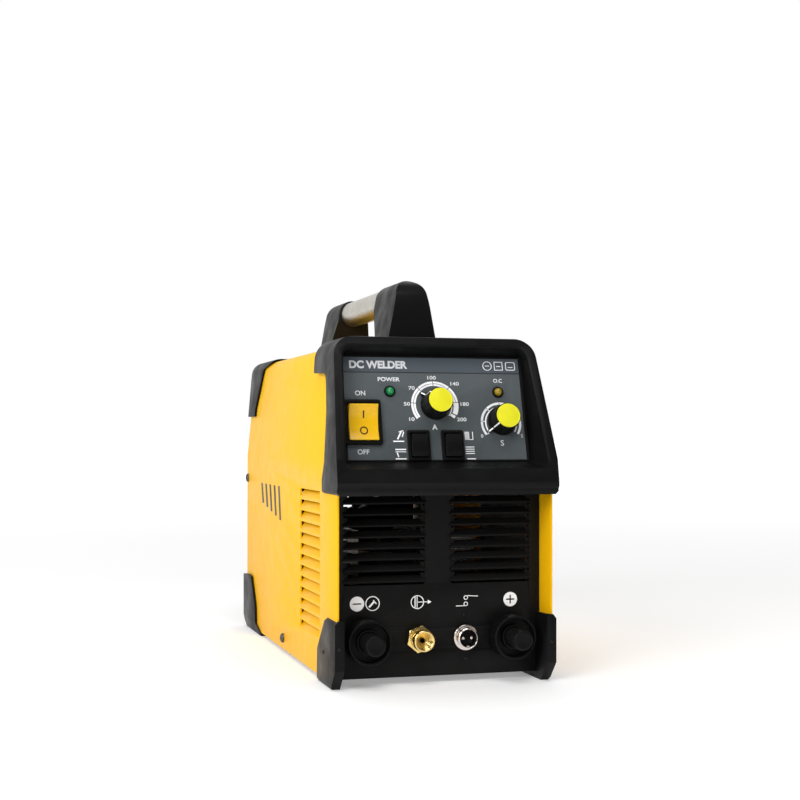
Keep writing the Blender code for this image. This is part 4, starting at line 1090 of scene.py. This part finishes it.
def build_torch_socket():
    spot = middle_in(ROW, "torch_socket_shell")
    place = on(ROW, spot.x, spot.y)
    thread = [dot for i in range(5) for dot in ((7.0, 8.8 - 0.8 * i), (6.7, 8.4 - 0.8 * i))]
    shell = [(5.9, 9.1), (5.98, 9.4), (6.15, 9.5), (6.5, 9.4), *thread, (6.8, 4.7), (7.9, 4.6), (8.3, 4.55),
             (8.55, 4.3), (8.6, 4.0), (8.6, GAP), (6.8, GAP), (6.8, -9), (5.9, -9)]
    key = slab(6.0, rectangle((0, -5.4), 2.0, 1.4), place=raised(5.5))
    mesh = merged(turned(shell, closed=True), bevelled(key, 0.3, 2))
    piece("torch_socket_ring", mesh, NICKEL, nodes=["torch_socket_shell"], place=place)
    insert = [(0, 2.4), (1.2, 2.4), (1.2, 2.5), (5.2, 2.5), (5.6, 2.2), (5.6, -12), (0, -12)]
    piece("torch_socket_core", turned(insert), BLACK, nodes=["torch_socket_insert"], place=place)
    pin = [(0, 7.5), (0.5, 7.45), (0.9, 7.1), (1.1, 6.6), (1.1, 0), (0, 0)]
    pins = [moved(turned(pin, 32), Matrix.Translation((x * MM, 0, 0))) for x in (-2.9, 2.9)]
    piece("torch_socket_pins", merged(*pins), NICKEL, place=place)


def build_panel_print():
    """Signs over the connector row: minus and torch, gas out, torch switch, and plus."""
    y, lift = SIGN_ROW, INK / 2 + 0.01
    minus, torch, gas, switch, plus = (-55.7, -45.1, -14.3, 20.8, 51.3)
    white = [circle((minus, y), 4.9), rectangle((minus, y), 5.6, 0.9)]
    white += hoop((torch, y), 4.9, 4.3) + hoop((gas, y), 4.6, 4.05)
    piece("panel_rings", drawn(*white, lift=lift), WHITE_INK, place=ROW)
    arm, half = 2.9, 0.5
    cross = [(-arm, -half), (-half, -half), (-half, -arm), (half, -arm), (half, -half), (arm, -half),
             (arm, half), (half, half), (half, arm), (-half, arm), (-half, half), (-arm, half)]
    strokes = [
        (circle((plus, y), 4.9), [(plus + a, y + b) for a, b in cross]),
        (bar((torch - 2.4, y - 2.4), (torch + 1.2, y + 1.4), 1.2),),
        (bar((torch + 0.4, y + 2.2), (torch + 2.6, y - 0.2), 0.8),),
        (rectangle((gas - 1.6, y), 0.6, 7.4),), (rectangle((gas - 0.2, y), 0.5, 7.8),),
        (bar((gas + 0.5, y), (gas + 7.4, y), 0.5),),
        ([(gas + 7.2, y + 1.4), (gas + 7.2, y - 1.4), (gas + 9.8, y)],),
        hoop((switch - 1.2, y + 2.0), 1.5, 1.0, 32),
        hoop((switch - 1.2, y - 2.2), 1.5, 1.0, 32),
        (bar((switch - 8.0, y - 3.4), (switch - 1.8, y - 3.4), 0.5),),
        (bar((switch - 0.2, y + 3.3), (switch + 7.4, y + 2.8), 0.5),),
    ]
    piece("panel_signs", merged(*[drawn(*loops, lift=lift) for loops in strokes]), WHITE_INK, place=ROW)


# ---- fasteners


def screw_head(radius, height):
    """A pan head with a cross recess."""
    dome = [(0, height)]
    for angle in [math.radians(10 * k) for k in range(2, 9)]:
        dome.append((radius * math.sin(angle), height * math.cos(angle) ** 0.6))
    head = turned([*dome, (radius, 0), (0, 0)], 40)
    reach, half = radius * 0.62, radius * 0.13
    place = raised(height)
    arms = [slab(height * 1.1, rectangle((0, 0), *size), place=place)
            for size in ((2 * reach, 2 * half), (2 * half, 2 * reach))]
    return combined(head, "DIFFERENCE", *arms)


def side_frame(side, depth, z, x):
    return frame_at(Vector((x, FRONT + depth, z)) * MM, Vector((0, side, 0)))


def build_screws():
    for side, word in SIDES:
        node = f"cover_screw_{word}"
        spot = middle_in(Matrix.Identity(4), node)
        lower = side_frame(side, spot.y - FRONT, spot.z, side * (COVER_HALF + GAP))
        piece(f"cover_screw_head_{word}", screw_head(*SIDE_SCREW), DARK_STEEL, nodes=[node], place=lower)
        upper = side_frame(side, 333, 128.5, side * (COVER_HALF + 0.02))
        piece(f"upper_screw_head_{word}", screw_head(*SIDE_SCREW), DARK_STEEL, place=upper)
    small = [on(ROW, 18.5, 44.5), on(ROW, 19.6, 15.4)]
    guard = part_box("front_guard_right")[1].x / MM
    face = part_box("front_guard_right")[0].y
    for side in (-1, 1):
        small.append(side_frame(side, 31.7, 21.6, side * guard))
        spot = Vector((side * 72.7 * MM, face, 27.6 * MM))
        small.append(frame_at(spot))
    head = screw_head(*SMALL_SCREW)
    mesh = merged(*[moved(head.copy(), place) for place in small])
    piece("small_screws", mesh, BLACK_STEEL)


# ---- rear


def build_rear():
    piece("rear_plate", cad_copy("rear_panel", 0.3, 2), BLACK, nodes=["rear_panel"])
    piece("fan_grille", cad_copy("fan_guard", 0.4, 2), BLACK, nodes=["fan_guard"])
    piece("fan_housing", cad_copy("fan_frame", 0), BLACK, nodes=["fan_frame"])
    piece("fan_blades", cad_copy("fan_rotor", 0.3, 2), BLACK, "fan_rotor", ["fan_rotor"])


def dress_cad_nodes():
    """Puts looks on the CAD nodes that stay as they are."""
    for name, node in frame["nodes"].items():
        if node.hide_render:
            continue
        node.data.materials.clear()
        node.data.materials.append(LOOKS[SLOTS[name]])


# ---- studio


def build_stage():
    """A wide pale sheet that glows more with distance, so that it meets the white room unseen."""
    floor = turned([(0, 0), (40000, 0), (40000, -5), (0, -5)], 64)
    look = Look("pale_floor", (0.9, 0.9, 0.9), 0.8)
    look.mottle(3, 2, 0.2, (0.86, 0.86, 0.87))
    look.shader.inputs["Emission Color"].default_value = (1, 1, 1, 1)
    reach = look.add("ShaderNodeVectorMath", {0: look.place})
    reach.operation = "LENGTH"
    glow = look.ranged(reach.outputs["Value"], *FLOOR_GLOW, *FLOOR_FADE)
    look.tree.links.new(glow, look.shader.inputs["Emission Strength"])
    floor.materials.append(look.material)
    obj = linked("floor", floor)


def soft_light(name, spot, size, power):
    light = bpy.data.lights.new(name, "AREA")
    light.shape = "DISK"
    light.size = size
    light.energy = power
    obj = linked(name, light)
    obj.location = spot
    obj.rotation_euler = (Vector(LIT_SPOT) - Vector(spot)).to_track_quat("-Z", "Y").to_euler()
    obj.visible_camera = False


def build_studio():
    """A world that is seen as white, and as a light is bright from the rear and dim from the front."""
    build_stage()
    world = bpy.data.worlds.new("studio")
    world.use_nodes = True
    tree = world.node_tree
    parts = tree.nodes.new("ShaderNodeSeparateXYZ")
    fade = tree.nodes.new("ShaderNodeMapRange")
    for socket, value in SKY:
        fade.inputs[socket].default_value = value
    sky = tree.nodes["Background"]
    sky.inputs["Color"].default_value = (1, 1, 1, 1)
    tree.links.new(tree.nodes.new("ShaderNodeTexCoord").outputs["Generated"], parts.inputs["Vector"])
    tree.links.new(parts.outputs["Y"], fade.inputs["Value"])
    seen = tree.nodes.new("ShaderNodeMath")
    seen.operation = "MAXIMUM"
    tree.links.new(fade.outputs["Result"], seen.inputs[0])
    tree.links.new(tree.nodes.new("ShaderNodeLightPath").outputs["Is Camera Ray"], seen.inputs[1])
    tree.links.new(seen.outputs["Value"], sky.inputs["Strength"])
    bpy.context.scene.world = world
    for light in LIGHTS:
        soft_light(*light)
    bpy.context.scene.view_settings.view_transform = "Standard"


def build_camera():
    """A level view from a little left of the machine's front, with the horizon below the middle."""
    data = bpy.data.cameras.new("camera")
    data.sensor_width = 36
    data.lens = CAMERA_LENS
    data.shift_y = CAMERA_SHIFT
    camera = linked("camera", data)
    camera.location = CAMERA_SPOT
    camera.rotation_euler = (math.radians(90), 0, math.radians(CAMERA_TURN))
    bpy.context.scene.camera = camera


build_camera()
build_cover()
build_side_marks()
build_hood()
build_front_panel()
build_guards()
build_handle()
build_plate()
build_switches()
build_dial("current", 138)
build_dial("slope", 217)
build_lamp("power_lamp", "power_led", GREEN_LENS)
build_lamp("overload_lamp", "overload_led", AMBER_LENS)
build_sockets()
build_gas_outlet()
build_torch_socket()
build_panel_print()
build_screws()
build_rear()
dress_cad_nodes()
build_studio()
